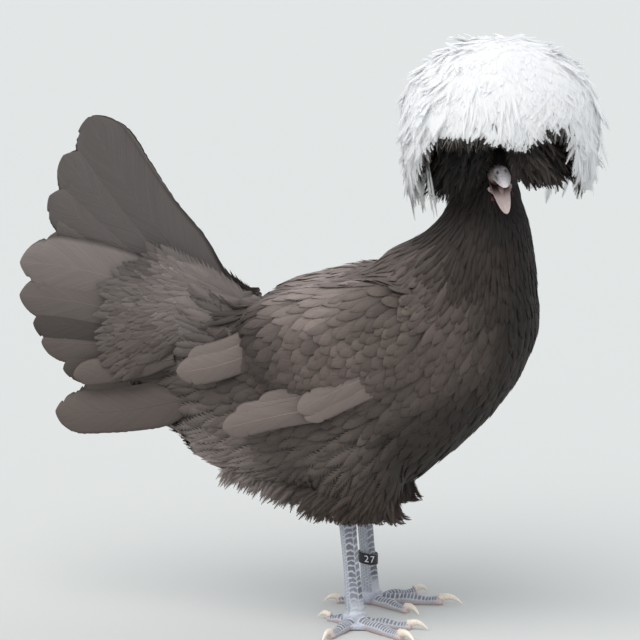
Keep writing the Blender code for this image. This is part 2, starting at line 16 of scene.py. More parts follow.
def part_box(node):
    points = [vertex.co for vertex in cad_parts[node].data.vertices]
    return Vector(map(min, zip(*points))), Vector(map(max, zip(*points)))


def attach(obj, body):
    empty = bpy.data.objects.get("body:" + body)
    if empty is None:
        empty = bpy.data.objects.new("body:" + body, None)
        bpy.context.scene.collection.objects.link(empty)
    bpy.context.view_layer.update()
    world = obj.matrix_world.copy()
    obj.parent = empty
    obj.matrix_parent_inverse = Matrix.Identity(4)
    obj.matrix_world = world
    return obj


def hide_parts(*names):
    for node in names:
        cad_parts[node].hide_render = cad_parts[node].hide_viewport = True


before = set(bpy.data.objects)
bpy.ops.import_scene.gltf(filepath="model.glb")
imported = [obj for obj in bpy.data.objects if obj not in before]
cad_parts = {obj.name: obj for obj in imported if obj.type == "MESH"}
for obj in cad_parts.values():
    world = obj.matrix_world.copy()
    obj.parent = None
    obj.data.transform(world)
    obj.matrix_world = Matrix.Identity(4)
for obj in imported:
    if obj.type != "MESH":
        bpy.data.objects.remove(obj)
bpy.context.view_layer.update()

# %% [markdown]
# The solids were drawn with the hen's mid-plane at Y = 0 and then moved a little
# so that the whole stands centred. Drawing in the hen's own frame keeps numbers
# easy to read, so the shift between the two is measured once and used everywhere.

# %% The hen's own frame
BAND_X = 0.0353
band_low, band_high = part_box("leg_band")
trunk_low, trunk_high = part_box("trunk")
HOME = np.array([(band_low.x + band_high.x) / 2 - BAND_X, (trunk_low.y + trunk_high.y) / 2, 0.0])
print("shift of the hen's frame", HOME.round(4))

# %% [markdown]
# A fixed seed makes every run give the same bird. Each set of feathers takes its
# own stream of chance, so a change to one doesn't stir the others. The other helpers
# here are small sums that many pieces share.


# %% Chance and curves
def chance(seed):
    return np.random.default_rng(seed)


def unit(vectors):
    length = np.linalg.norm(vectors, axis=-1, keepdims=True)
    return vectors / np.maximum(length, 1e-12)


def smooth_step(low, high, value):
    t = np.clip((value - low) / (high - low), 0, 1)
    return t * t * (3 - 2 * t)


def blend(first, second, part):
    """From the first to the second, as part goes from 0 to 1."""
    return first + (second - first) * part


def circle(count):
    """Angles evenly round a circle."""
    return np.linspace(0, 2 * math.pi, count, endpoint=False)


def rows_by_circle(rows, count):
    """Two grids: the value of each row, and the angles of a circle along it."""
    return np.meshgrid(rows, circle(count), indexing="ij")


def pointing(heading, aside=0.0):
    """Ways in the side view, with a part across the body where that is given."""
    return np.stack([np.cos(heading), aside + 0 * heading, np.sin(heading)], axis=1)


def linear(colour):
    """A colour given as it looks on screen, 0 to 255, turned into the light it stands for."""
    c = np.array(colour, float) / 255
    return np.where(c <= 0.04045, c / 12.92, ((c + 0.055) / 1.055) ** 2.4)


# %% [markdown]
# Thousands of vanes are quickest as one mesh made from arrays. The last helper takes
# points in the hen's own frame, triangles, and what each point carries: its colour,
# its vane reading, its place on the flat map and the way its surface should seem to
# face. That last one lets thousands of thin vanes shade like one soft coat.


# %% Meshes from arrays
def shown(name, data):
    """A new object with this data, linked to the scene."""
    made = bpy.data.objects.new(name, data)
    bpy.context.scene.collection.objects.link(made)
    return made


def read_back(items, key, wide=3, kind=np.float32):
    """One property of every point, face or corner, as rows of numbers."""
    rows = np.empty(len(items) * wide, kind)
    items.foreach_get(key, rows)
    return rows.reshape(-1, wide)


def put_points(mesh, points):
    """Sets the points of a mesh, given in the hen's own frame, and shades it smooth."""
    mesh.vertices.foreach_set("co", (points + HOME).astype(np.float32).ravel())
    mesh.polygons.foreach_set("use_smooth", np.full(len(mesh.polygons), True))


def put_tones(mesh, tone):
    """Gives the points of a mesh one colour each, or all of them the same one."""
    rgba = np.ones((len(mesh.vertices), 4), np.float32)
    rgba[:, :3] = tone
    layer = mesh.attributes.new("tone", "FLOAT_COLOR", "POINT")
    layer.data.foreach_set("color", rgba.ravel())


def mesh_object(name, points, triangles, tone=None, vane=None, flat=None, facing=None):
    mesh = bpy.data.meshes.new(name)
    points = np.asarray(points, float).reshape(-1, 3)
    triangles = np.asarray(triangles, np.int32).reshape(-1, 3)
    mesh.vertices.add(len(points))
    mesh.loops.add(triangles.size)
    mesh.loops.foreach_set("vertex_index", triangles.ravel())
    mesh.polygons.add(len(triangles))
    mesh.polygons.foreach_set("loop_start", np.arange(0, triangles.size, 3, dtype=np.int32))
    put_points(mesh, points)
    if tone is not None:
        put_tones(mesh, tone)
    if vane is not None:
        layer = mesh.attributes.new("vane", "FLOAT_VECTOR", "POINT")
        layer.data.foreach_set("vector", np.asarray(vane, np.float32).ravel())
    if flat is not None:
        layer = mesh.uv_layers.new(name="OFBake")
        corner = np.asarray(flat, np.float32).reshape(-1, 2)[triangles.ravel()]
        layer.data.foreach_set("uv", corner.ravel())
    mesh.update(calc_edges=True)
    if facing is not None:
        mesh.normals_split_custom_set_from_vertices(facing.reshape(-1, 3).tolist())
    made = shown(name, mesh)
    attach(made, "root")
    return made


# %% [markdown]
# The picture was taken from a little above the hen's back and slightly ahead of
# its right side, from far enough away that hardly any perspective shows. The origin
# of the hen's frame falls on one column and one row of that picture.

# %% Camera
AZIMUTH = math.radians(10)
ELEVATION = math.radians(9)
DISTANCE = 2.5
PIXEL = 0.00075
PICTURE = 640
HOME_COLUMN = 313.5
HOME_ROW = 612
back = Vector(
    (
        math.sin(AZIMUTH) * math.cos(ELEVATION),
        -math.cos(AZIMUTH) * math.cos(ELEVATION),
        math.sin(ELEVATION),
    )
)
right = Vector((math.cos(AZIMUTH), math.sin(AZIMUTH), 0))
up = back.cross(right)
aim = Vector(HOME) + right * ((PICTURE / 2 - HOME_COLUMN) * PIXEL)
aim += up * ((HOME_ROW - PICTURE / 2) * PIXEL)
lens = bpy.data.cameras.new("camera")
lens.sensor_width = 36
lens.lens = lens.sensor_width * DISTANCE / (PICTURE * PIXEL)
camera = shown("camera", lens)
camera.location = aim + back * DISTANCE
camera.rotation_euler = back.to_track_quat("Z", "Y").to_euler()
bpy.context.scene.camera = camera
print("lens", round(lens.lens, 1), "mm, camera height", round(camera.location.z, 3))

# %% [markdown]
# A still model is shown on a wide pale floor under soft studio light: a bright even
# sky, a very wide light from above the viewer's left shoulder, and a weak one opposite.
# Light from so far away doesn't fade over the floor.


# %% Floor and light
def plain_material(name, colour, roughness):
    made = bpy.data.materials.new(name)
    made.use_nodes = True
    shader = made.node_tree.nodes["Principled BSDF"]
    shader.inputs["Base Color"].default_value = (*colour, 1)
    shader.inputs["Roughness"].default_value = roughness
    return made


def soft_sun(name, place, strength, spread, colour):
    """Light from one side of the sky, as wide as `spread` degrees."""
    data = bpy.data.lights.new(name, "SUN")
    data.angle = math.radians(spread)
    data.energy = strength
    data.color = colour
    lamp = shown(name, data)
    lamp.location = place
    lamp.rotation_euler = Vector(place).to_track_quat("Z", "Y").to_euler()


bpy.ops.mesh.primitive_plane_add(size=160, location=(0, 0, 0))
floor = bpy.context.object
floor.name = "floor"
floor.data.materials.append(plain_material("pale_floor", (0.50, 0.51, 0.50), 0.9))
soft_sun("key_light", (-0.9, -1.7, 3.0), 2.20, 60, (1.0, 0.985, 0.96))
soft_sun("rim_light", (1.2, 1.8, 1.6), 0.40, 60, (0.96, 0.98, 1.0))
world = bpy.data.worlds.new("soft_sky")
bpy.context.scene.world = world
world.use_nodes = True
world.node_tree.nodes["Background"].inputs["Color"].default_value = (0.93, 0.96, 1.0, 1)
world.node_tree.nodes["Background"].inputs["Strength"].default_value = 0.88
bpy.context.scene.cycles.diffuse_bounces = 10
bpy.context.scene.view_settings.view_transform = "Standard"
bpy.context.scene.view_settings.look = "None"

# %% [markdown]
# A feather is a shaft with barbs at a slant on both sides. Faint streaks and a fine
# bump follow those barbs. They are read from three numbers that every vane point
# carries: how far across it lies, how far along, and one that differs per feather.
# The same numbers place painted shade: a feather is painted darker towards its root,
# where the one above lies over it, and body feathers get a darker rim, a painted shadow
# along the edge. The first helpers also make the finishes of skin, eyes, horn and scales.


# %% Feather finish
def carried(tree, name):
    """A node that reads what the points carry under this name."""
    node = tree.nodes.new("ShaderNodeAttribute")
    node.attribute_name = name
    return node


def toned_material(name, colour, roughness):
    """A plain material that takes the tone of the points for its colour."""
    made = plain_material(name, colour, roughness)
    shader = made.node_tree.nodes["Principled BSDF"]
    tone = carried(made.node_tree, "tone")
    made.node_tree.links.new(tone.outputs["Color"], shader.inputs["Base Color"])
    return made


def noise(tree, place, scale, detail):
    """Soft noise, read at a place."""
    node = tree.nodes.new("ShaderNodeTexNoise")
    node.inputs["Scale"].default_value = scale
    node.inputs["Detail"].default_value = detail
    tree.links.new(place, node.inputs["Vector"])
    return node.outputs["Fac"]


def lit_tone(tree, light, height, strength, distance):
    """Gives the shader the tone of the points times a light value, and a bump."""
    shader = tree.nodes["Principled BSDF"]
    scale = tree.nodes.new("ShaderNodeVectorMath")
    scale.operation = "SCALE"
    tree.links.new(carried(tree, "tone").outputs["Color"], scale.inputs[0])
    tree.links.new(light, scale.inputs["Scale"])
    tree.links.new(scale.outputs[0], shader.inputs["Base Color"])
    bump = tree.nodes.new("ShaderNodeBump")
    bump.inputs["Strength"].default_value = strength
    bump.inputs["Distance"].default_value = distance
    tree.links.new(height, bump.inputs["Height"])
    tree.links.new(bump.outputs[0], shader.inputs["Normal"])
    return scale.outputs[0]


def feather_material(
    name, streak_rate, streaks, bump_size, rim_light, root_painted_shade, roughness, thin=0.0, patches=0.0, vary=0.20
):
    made = bpy.data.materials.new(name)
    made.use_nodes = True
    tree = made.node_tree
    nodes = tree.nodes
    links = tree.links
    shader = nodes["Principled BSDF"]

    def value(kind, first, second=None, third=None):
        node = nodes.new("ShaderNodeMath")
        node.operation = kind
        for socket, source in zip(node.inputs, (first, second, third)):
            if source is None:
                continue
            if isinstance(source, (int, float)):
                socket.default_value = source
            else:
                links.new(source, socket)
        return node.outputs[0]

    split = nodes.new("ShaderNodeSeparateXYZ")
    links.new(carried(tree, "vane").outputs["Vector"], split.inputs[0])
    across = value("ABSOLUTE", split.outputs[0])
    along = split.outputs[1]
    own = split.outputs[2]
    slant = value("MULTIPLY_ADD", across, -0.30, along)
    place = nodes.new("ShaderNodeCombineXYZ")
    links.new(value("MULTIPLY", slant, streak_rate), place.inputs[0])
    links.new(value("MULTIPLY", own, 57.0), place.inputs[1])
    links.new(value("MULTIPLY", split.outputs[0], 0.9), place.inputs[2])
    streak = value("SUBTRACT", noise(tree, place.outputs[0], 1.0, 3.0), 0.5)
    patch = value("SUBTRACT", noise(tree, place.outputs[0], 0.13, 2.0), 0.5)
    shaft = value("MAXIMUM", value("SUBTRACT", 1, value("MULTIPLY", across, 14)), 0)
    # painted shade: the rim term darkens the edge of body feathers as a painted shadow, and the root term
    # darkens each feather towards its root, under the feather above
    rim = value("POWER", value("MAXIMUM", across, along), 6)
    light = value("MULTIPLY_ADD", rim, rim_light, 1.0)
    light = value("MULTIPLY_ADD", value("SUBTRACT", 1, along), -root_painted_shade, light)
    light = value("MULTIPLY_ADD", own, vary, value("SUBTRACT", light, vary / 2))
    light = value("MULTIPLY_ADD", streak, streaks, light)
    light = value("MULTIPLY_ADD", patch, patches, light)
    light = value("MULTIPLY_ADD", shaft, vary * 0.4, light)
    colour = lit_tone(tree, light, streak, 0.5, bump_size)
    shader.inputs["Roughness"].default_value = roughness
    shader.inputs["Specular IOR Level"].default_value = 0.3
    if thin:
        through = nodes.new("ShaderNodeBsdfTranslucent")
        links.new(colour, through.inputs["Color"])
        mix = nodes.new("ShaderNodeMixShader")
        mix.inputs["Fac"].default_value = thin
        links.new(shader.outputs[0], mix.inputs[1])
        links.new(through.outputs[0], mix.inputs[2])
        links.new(mix.outputs[0], nodes["Material Output"].inputs["Surface"])
    return made


# body feathers carry a painted shadow at the rim and strong painted shade towards the root; quills a little
# painted shade at the root
body_finish = feather_material("body_feather", 18, 0.55, 0.0006, -0.20, 0.55, 0.65, 0.0, 0.3)
quill_finish = feather_material("quill_feather", 140, 0.40, 0.0008, 0.02, 0.12, 0.65, 0.0, 0.25)
crest_finish = feather_material("crest_feather", 20, 0.04, 0.0003, 0.00, 0.00, 0.7, 0.5, 0.0, 0.02)
print("feather finishes", 3)

# %% [markdown]
# The markings are one smooth field, so skin and coat can share it. Each entry says
# how dark the plumage is near one place in the side view, and a point takes the
# average of the entries, the near ones counting most. The hen is a dull dark dun:
# nearly black on throat and breast, paler and greyer on wings, vent and tail. The field
# also holds painted light: throat, neck front and breast front are darker partly as
# painted shade for the front that faces away from the light, and the back is painted
# paler where the hackles shade it.

# %% Markings and painted light
TONES = (
    # throat, neck front and breast front: dark plumage, made darker still as painted shade on the front that
    # faces away from the light
    ("throat", 0.150, 0.320, (27, 21, 18)),
    ("nape", 0.100, 0.315, (52, 43, 39)),
    ("neck side", 0.125, 0.285, (52, 43, 38)),
    ("neck front", 0.168, 0.262, (28, 22, 18)),
    ("neck base back", 0.070, 0.275, (98, 87, 82)),
    ("breast front", 0.168, 0.225, (38, 31, 26)),
    ("breast low", 0.145, 0.170, (44, 37, 31)),
    ("side breast", 0.115, 0.225, (90, 79, 74)),
    ("belly", 0.100, 0.125, (52, 45, 39)),
    ("shoulder", 0.075, 0.240, (98, 87, 80)),
    # back: painted paler, as painted light where the hackles shade it
    ("back", 0.030, 0.260, (146, 133, 128)),
    ("saddle", -0.035, 0.245, (64, 57, 53)),
    ("wing middle", 0.030, 0.215, (112, 99, 93)),
    ("wing rear", -0.020, 0.195, (84, 74, 69)),
    ("flank", 0.020, 0.135, (92, 82, 76)),
    ("thigh", 0.035, 0.100, (72, 61, 55)),
    ("vent", -0.050, 0.115, (142, 130, 125)),
    ("tail base", -0.080, 0.235, (116, 107, 104)),
    ("tail under", -0.110, 0.175, (84, 75, 70)),
    ("tail", -0.160, 0.310, (86, 81, 79)),
)
TONE_PLACES = np.array([(x, z) for _, x, z, _ in TONES])
TONE_COLOURS = np.array([linear(c) for _, _, _, c in TONES])
TONE_BLUR = 0.012
PLUMAGE_SHADE = 0.92


def near_weights(points, places, softness):
    gap = points[:, None, [0, 2]] - places[None]
    weight = 1 / (np.sum(gap**2, axis=-1) + softness**2) ** 2
    return weight / weight.sum(axis=1, keepdims=True)


def markings_and_painted_light(points):
    return near_weights(points, TONE_PLACES, TONE_BLUR) @ TONE_COLOURS * PLUMAGE_SHADE


print("markings_and_painted_light", len(TONES))

# %% [markdown]
# One skin takes the place of all the flesh. Copies of the solids are joined, and a
# voxel remesh melts them into a single closed surface, which hides the seams. It is
# smoothed, then drawn in by the depth of the coat that will lie over it.

# %% Skin
FLESH = (
    "trunk",
    "neck",
    "head",
    "tail_coverts",
    "wing_left",
    "wing_right",
    "thigh_left",
    "thigh_right",
)
COAT_DEPTH = 0.0042
VOXEL = 0.0026


def joined_solids(names):
    corners = []
    faces = []
    for name in names:
        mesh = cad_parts[name].data
        start = len(corners)
        corners += [tuple(np.array(v.co) - HOME) for v in mesh.vertices]
        faces += [[start + i for i in p.vertices] for p in mesh.polygons]
    return corners, faces


def melted_arrays(corners, faces, voxel, rounds, inward):
    """Closed solids that may overlap, as one closed smooth surface."""
    mesh = bpy.data.meshes.new("flesh")
    mesh.from_pydata(corners, [], faces)
    lump = shown("flesh", mesh)
    remesh = lump.modifiers.new("melt", "REMESH")
    remesh.mode = "VOXEL"
    remesh.voxel_size = voxel
    soften = lump.modifiers.new("soften", "SMOOTH")
    soften.factor = 0.5
    soften.iterations = rounds
    if inward:
        shrink = lump.modifiers.new("draw_in", "DISPLACE")
        shrink.mid_level = 0
        shrink.strength = -inward
    graph = bpy.context.evaluated_depsgraph_get()
    result = bpy.data.meshes.new_from_object(lump.evaluated_get(graph))
    bpy.data.objects.remove(lump)
    return result


skin_mesh = melted_arrays(*joined_solids(FLESH), VOXEL, 14, COAT_DEPTH)
skin = shown("skin", skin_mesh)
bpy.context.view_layer.objects.active = skin
skin.select_set(True)
bpy.ops.object.mode_set(mode="EDIT")
bpy.ops.mesh.select_all(action="SELECT")
bpy.ops.mesh.quads_convert_to_tris()
bpy.ops.uv.smart_project(angle_limit=math.radians(66), island_margin=0.002)
bpy.ops.object.mode_set(mode="OBJECT")
skin_mesh.uv_layers[0].name = "OFBake"
print("skin", len(skin_mesh.vertices), "points", len(skin_mesh.polygons), "faces")

# %% [markdown]
# The skin is then read back as arrays. A search tree answers the one question that
# feathers ask of it: where is the nearest place on you, and which way is out. The
# line of the back is evened first: a little fuller behind the neck, lower at the saddle,
# and filled where the folded wings meet the back. The skull is made a little fuller too.

# %% Reading the skin
SKULL = np.array([0.134, 0.0, 0.343])
SKULL_RISE = 0.0028
# the bare skin is painted at a little over half the tone of the coat, as painted shade for skin that lies
# under the feathers
SKIN_PAINTED_SHADE = 0.55
skin_points = read_back(skin_mesh.vertices, "co").astype(float)
faces = read_back(skin_mesh.polygons, "vertices", kind=np.int32)
corner_flat = read_back(skin_mesh.uv_layers["OFBake"].data, "uv", 2)
skin_flat = corner_flat.reshape(-1, 3, 2).mean(axis=1)
for place, rise, reach in ((0.058, 0.006, 0.020), (-0.006, -0.006, 0.030)):
    near = np.exp(-(((skin_points[:, 0] - place) / reach) ** 2))
    skin_points[:, 2] += rise * near * smooth_step(0.215, 0.245, skin_points[:, 2])
places = np.arange(-0.060, 0.090, 0.005)
inner, ridge = [], []
for place in places:
    slab = skin_points[np.abs(skin_points[:, 0] - place) < 0.004]
    inner.append(slab[np.abs(slab[:, 1]) < 0.006, 2].max())
    ridge.append(slab[np.abs(np.abs(slab[:, 1]) - 0.048) < 0.008, 2].max())
x, y, z = skin_points.T
inner = np.interp(x, places, inner)
ridge = np.minimum(np.interp(x, places, ridge), inner + 0.010)
level = blend(inner, ridge, smooth_step(0, 0.046, np.abs(y))) - 0.0010
trench = (np.abs(y) < 0.048) & (z > level - 0.024) & (x > -0.045) & (x < 0.080)
skin_points[:, 2] = np.where(trench, np.maximum(z, level), z)
from_skull = skin_points - SKULL
on_skull = 1 - smooth_step(0.026, 0.036, np.linalg.norm(from_skull, axis=1))
skin_points += unit(from_skull) * SKULL_RISE * on_skull[:, None]
corner = skin_points[faces]
cross = np.cross(corner[:, 1] - corner[:, 0], corner[:, 2] - corner[:, 0])
face_area = np.linalg.norm(cross, axis=1) / 2
face_middle = corner.mean(axis=1)
point_normal = np.zeros_like(skin_points)
for i in range(3):
    np.add.at(point_normal, faces[:, i], cross)
point_normal = unit(point_normal)
skin_tree = BVHTree.FromPolygons(skin_points.tolist(), faces.tolist())
# painted shade: the skin takes the coat's tone, darkened for the shade under the feathers
put_tones(skin_mesh, markings_and_painted_light(skin_points) * SKIN_PAINTED_SHADE)
put_points(skin_mesh, skin_points)
skin_mesh.materials.append(toned_material("skin_finish", (0.8, 0.8, 0.8), 0.8))
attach(skin, "root")
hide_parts(*FLESH)
print("skin area", round(face_area.sum(), 4), "square metres")

# %% [markdown]
# One vane is a shaft line with a strip on each side. Near the shaft the strip is
# whole; further out it is cut into barbs that end in points, as real barbs do where
# they lose hold of each other. A low fringe gives a firm feather and a high one a
# downy plume. Rows crowd towards the tip, where the outline curves most.


# %% Vanes
def spread_along(path, places):
    """Points of each path (many, few, 3) read again at places from 0 to 1."""
    few = path.shape[1]
    t = places * (few - 1)
    low = np.minimum(t.astype(int), few - 2)
    part = (t - low)[None, :, None]
    return path[:, low] * (1 - part) + path[:, low + 1] * part


def vanes(path, normal, width, rows, shape, fringe, seed, **look):
    """Points, triangles, vane readings and facings of many feathers."""
    lead = look.get("lead", 1.2)
    stray = look.get("stray", 0.15)
    camber = look.get("camber", 0.25)
    roll = look.get("roll", 0.45)
    curl = look.get("curl", 0.5)
    draw = chance(seed)
    step = np.arange(rows + 1)
    places = 1 - (1 - step / rows) ** look.get("crowd", 1.4)
    line = spread_along(path, places)
    out = unit(spread_along(normal, places))
    many = len(line)
    forward = unit(np.gradient(line, axis=1))
    side = unit(np.cross(forward, out))
    face = out
    out = np.cross(side, forward)
    outline = np.interp(places, np.linspace(0, 1, len(shape)), shape)
    half = (width / 2)[:, None] * outline[None]
    whole = half * (1 - fringe)[:, None]
    drop = camber * whole
    left = line - side * whole[..., None] - out * drop[..., None]
    far_side = line + side * whole[..., None] - out * drop[..., None]
    reach = np.interp(np.clip(step[:-1] + 0.5 + lead, 0, rows), step, places)
    tip_line = spread_along(path, reach)
    tip_half = (width / 2)[:, None] * np.interp(reach, np.linspace(0, 1, len(shape)), shape)[None]
    low = np.minimum(np.searchsorted(places, reach), rows)
    points = [left, line, far_side]
    curled = forward * (curl * places**5)[None, :, None]
    facing = [face - side * roll + curled, face + curled, face + side * roll + curled]
    for sign in (-1, 1):
        far = tip_half * (1 + stray * (draw.random((many, rows)) - 0.6))
        sag = camber * far * (1 + 0.6 * (draw.random((many, rows)) - 0.5))
        beside = side[:, low] * (sign * far)[..., None]
        points.append(tip_line + beside - out[:, low] * sag[..., None])
        facing.append((face + side * (sign * roll * 1.3) + curled)[:, low])
    points = np.concatenate(points, axis=1)
    facing = unit(np.concatenate(facing, axis=1))
    per = 3 * (rows + 1) + 2 * rows
    a = step[:-1]
    b = a + 1
    mid = rows + 1
    far_mid = 2 * mid
    tip_left = 3 * mid + a
    tip_far = 3 * mid + rows + a
    corners = (
        (a, mid + a, mid + b),
        (a, mid + b, b),
        (mid + a, far_mid + a, far_mid + b),
        (mid + a, far_mid + b, mid + b),
        (a, b, tip_left),
        (far_mid + b, far_mid + a, tip_far),
    )
    one = np.concatenate([np.stack(three, 1) for three in corners])
    triangles = (one[None] + np.arange(many)[:, None, None] * per).reshape(-1, 3)
    own = draw.random(many)
    edge = np.ones(mid)
    across = np.concatenate([-edge, 0 * edge, edge])[None] * (1 - fringe)[:, None]
    ends = np.ones((many, rows))
    across = np.concatenate([across, -ends, ends], axis=1)
    along = np.concatenate([places, places, places, reach, reach])[None].repeat(many, 0)
    reading = np.stack([across, along, np.repeat(own[:, None], per, 1)], axis=-1)
    return points, triangles, reading, facing


def lay_flat(reading, root):
    """The patch of the flat map that each feather takes, at its root's place."""
    patch = np.stack([reading[..., 0] * 0.5, reading[..., 1] - 0.5], axis=-1) * 0.003
    return root[:, None, :] + patch


def nearest_flat(points):
    found = [skin_tree.find_nearest(p)[2] for p in points.tolist()]
    return skin_flat[np.array(found)]


# %% [markdown]
# The lie of the coat is written down as guides in the side view: the way a feather
# points there, its length and width, how much it lifts, how downy it is, and how
# closely it clings to the body. A heading of 0 points ahead, 90 up and 180 to the
# tail. Between guides the values blend, so the feathers stream like a real coat.

# %% Lie of the coat
LIE = (
    # place, x, z, heading, length, width, lift, down, cling
    ("throat", 0.152, 0.318, 268, 0.020, 0.0040, 0.05, 0.40, 1.0),
    ("upper neck", 0.128, 0.322, 263, 0.024, 0.0042, 0.05, 0.40, 1.0),
    ("nape", 0.098, 0.312, 238, 0.030, 0.0044, 0.05, 0.40, 1.0),
    ("neck side", 0.122, 0.285, 262, 0.030, 0.0048, 0.05, 0.38, 1.0),
    ("neck base front", 0.166, 0.262, 266, 0.026, 0.0060, 0.05, 0.30, 1.0),
    ("neck base back", 0.075, 0.272, 218, 0.040, 0.0052, 0.05, 0.38, 0.8),
    ("breast front", 0.166, 0.225, 262, 0.028, 0.0095, 0.06, 0.25, 1.0),
    ("breast low", 0.145, 0.172, 236, 0.029, 0.0120, 0.06, 0.28, 1.0),
    ("side breast", 0.110, 0.225, 238, 0.026, 0.0105, 0.07, 0.22, 1.0),
    ("side breast low", 0.100, 0.175, 222, 0.029, 0.0130, 0.06, 0.28, 1.0),
    ("belly", 0.100, 0.120, 208, 0.032, 0.0130, 0.08, 0.45, 1.0),
    ("back", 0.035, 0.262, 186, 0.036, 0.0070, 0.06, 0.30, 1.0),
    ("saddle", -0.030, 0.245, 182, 0.040, 0.0070, 0.07, 0.35, 0.8),
    ("shoulder", 0.078, 0.245, 215, 0.024, 0.0105, 0.12, 0.18, 1.0),
    ("wing front", 0.070, 0.215, 215, 0.022, 0.0130, 0.15, 0.14, 1.0),
    ("wing middle", 0.028, 0.215, 214, 0.024, 0.0140, 0.16, 0.12, 0.8),
    ("wing rear", -0.022, 0.205, 212, 0.026, 0.0145, 0.16, 0.14, 0.3),
    ("wing low", 0.020, 0.175, 205, 0.024, 0.0140, 0.15, 0.14, 0.5),
    ("flank", 0.020, 0.140, 198, 0.034, 0.0130, 0.08, 0.50, 1.0),
    ("thigh", 0.040, 0.105, 248, 0.024, 0.0056, 0.08, 0.80, 0.7),
    ("thigh foot", 0.042, 0.083, 258, 0.014, 0.0050, 0.14, 0.88, 0.3),
    ("vent", -0.055, 0.120, 204, 0.040, 0.0100, 0.12, 0.75, 0.5),
    ("belly under", 0.000, 0.098, 210, 0.036, 0.0100, 0.12, 0.75, 0.5),
    ("tail root", -0.055, 0.225, 160, 0.040, 0.0110, 0.04, 0.50, 0.8),
    ("tail cover high", -0.080, 0.255, 140, 0.052, 0.0110, 0.03, 0.65, 0.9),
    ("tail cover middle", -0.110, 0.225, 168, 0.050, 0.0110, 0.03, 0.65, 0.9),
    ("tail cover low", -0.110, 0.165, 192, 0.044, 0.0110, 0.03, 0.65, 0.9),
)
LIE_PLACES = np.array([(row[1], row[2]) for row in LIE])
LIE_HEADING = np.radians([row[3] for row in LIE])
LIE_REST = np.array([row[4:] for row in LIE])
LIE_BLUR = 0.008


def lie_at(points):
    """Heading in the side view and the five sizes of the coat at each point."""
    weight = near_weights(points, LIE_PLACES, LIE_BLUR)
    heading = np.arctan2(weight @ np.sin(LIE_HEADING), weight @ np.cos(LIE_HEADING))
    return heading, weight @ LIE_REST


print("guides", len(LIE))

# %% [markdown]
# Roots must be evenly crowded but not in rows. Many random spots are drawn on the
# skin, weighted by area, and each is kept only if no kept one is too near. How near
# is too near comes from the size of the feathers there, so small ones grow closer.


# %% Roots
def even_spacing(gap):
    """A spacing that is the same all over the skin."""
    return lambda points: np.full(len(points), gap)


def scatter_roots(tries, spacing_of, keep, seed):
    draw = chance(seed)
    odds = face_area * keep(face_middle) / (spacing_of(face_middle) ** 2)
    chosen = draw.choice(len(faces), tries, p=odds / odds.sum())
    weights = draw.dirichlet((1, 1, 1), tries)
    spots = np.einsum("ij,ijk->ik", weights, corner[chosen])
    gaps = spacing_of(spots)
    keys = np.floor(spots / gaps.max()).astype(int).tolist()
    around = [(i, j, k) for i in (-1, 0, 1) for j in (-1, 0, 1) for k in (-1, 0, 1)]
    grid = {}
    kept = []
    for index, (key, spot, gap) in enumerate(zip(keys, spots.tolist(), gaps.tolist())):
        near = []
        for i, j, k in around:
            near += grid.get((key[0] + i, key[1] + j, key[2] + k), ())
        if all(math.dist(spot, other) >= gap for other in near):
            grid.setdefault(tuple(key), []).append(spot)
            kept.append(index)
    return spots[kept], chosen[kept]


def follow_skin(roots, ahead, length, lift, cling, steps):
    """Each shaft walks over the skin from its root, rising as it goes."""
    where = roots.copy()
    path = []
    normal = []
    for step in range(steps + 1):
        found = [skin_tree.find_nearest(p) for p in where.tolist()]
        foot = np.array([f[0] for f in found])
        index = np.array([f[2] for f in found])
        out = unit(point_normal[faces[index]].mean(axis=1))
        height = 0.0008 + lift * length * step / steps
        hold = np.ones(len(roots)) if step == 0 else cling
        place = foot + out * height[:, None]
        place = place * hold[:, None] + where * (1 - hold)[:, None]
        path.append(place)
        normal.append(out)
        rise = np.sum(ahead * out, axis=1) * hold
        ahead = unit(ahead - out * rise[:, None])
        where = place + ahead * (length / steps)[:, None]
    return np.stack(path, axis=1), np.stack(normal, axis=1)


# %% [markdown]
# Now the body coat. It covers the skin from just above the hem of the thighs to where
# the crest hides it. Firm contour feathers have rounded tips, and the downy ones of vent
# and thigh are narrower and cut deep by their fringe. The coat leaves out the fold of the
# shoulder, where its lie would swirl. It is made in two pieces, fore and aft.

# %% Body coat
ROUND_TIP = (0.35, 0.72, 0.88, 0.96, 1.0, 1.0, 0.98, 0.92, 0.80, 0.58, 0.10)
PLUME = (0.30, 0.36, 0.45, 0.58, 0.74, 0.88, 0.98, 1.0, 0.9, 0.62, 0.12)
UNDER_CREST = 0.338
CROWDING = 0.33
LOWEST_ROOT = 0.076
LOWEST_VANE = 0.079
FOLD = (0.074, 0.2525)
FOLD_REACH = 0.007


def body_spacing(points):
    _, sizes = lie_at(points)
    return CROWDING * np.sqrt(sizes[:, 0] * sizes[:, 1])


def open_to_view(points):
    return (points[:, 2] < UNDER_CREST) & (points[:, 2] > LOWEST_ROOT)


def coat_piece(name, path, normal, width, rows, shape, fringe, seed, tone, flat, finish, slot, **look):
    """One joined mesh of many vanes, coloured and laid on the flat map."""
    points, triangles, reading, facing = vanes(path, normal, width, rows, shape, fringe, seed, **look)
    tones = np.repeat(np.clip(tone, 0.003, 0.95)[:, None], points.shape[1], 1).reshape(-1, 3)
    made = mesh_object(name, points, triangles, tones, reading, lay_flat(reading, flat), facing)
    made.data.materials.append(finish)
    print(name, len(path), "feathers", len(triangles), "triangles")
    return made


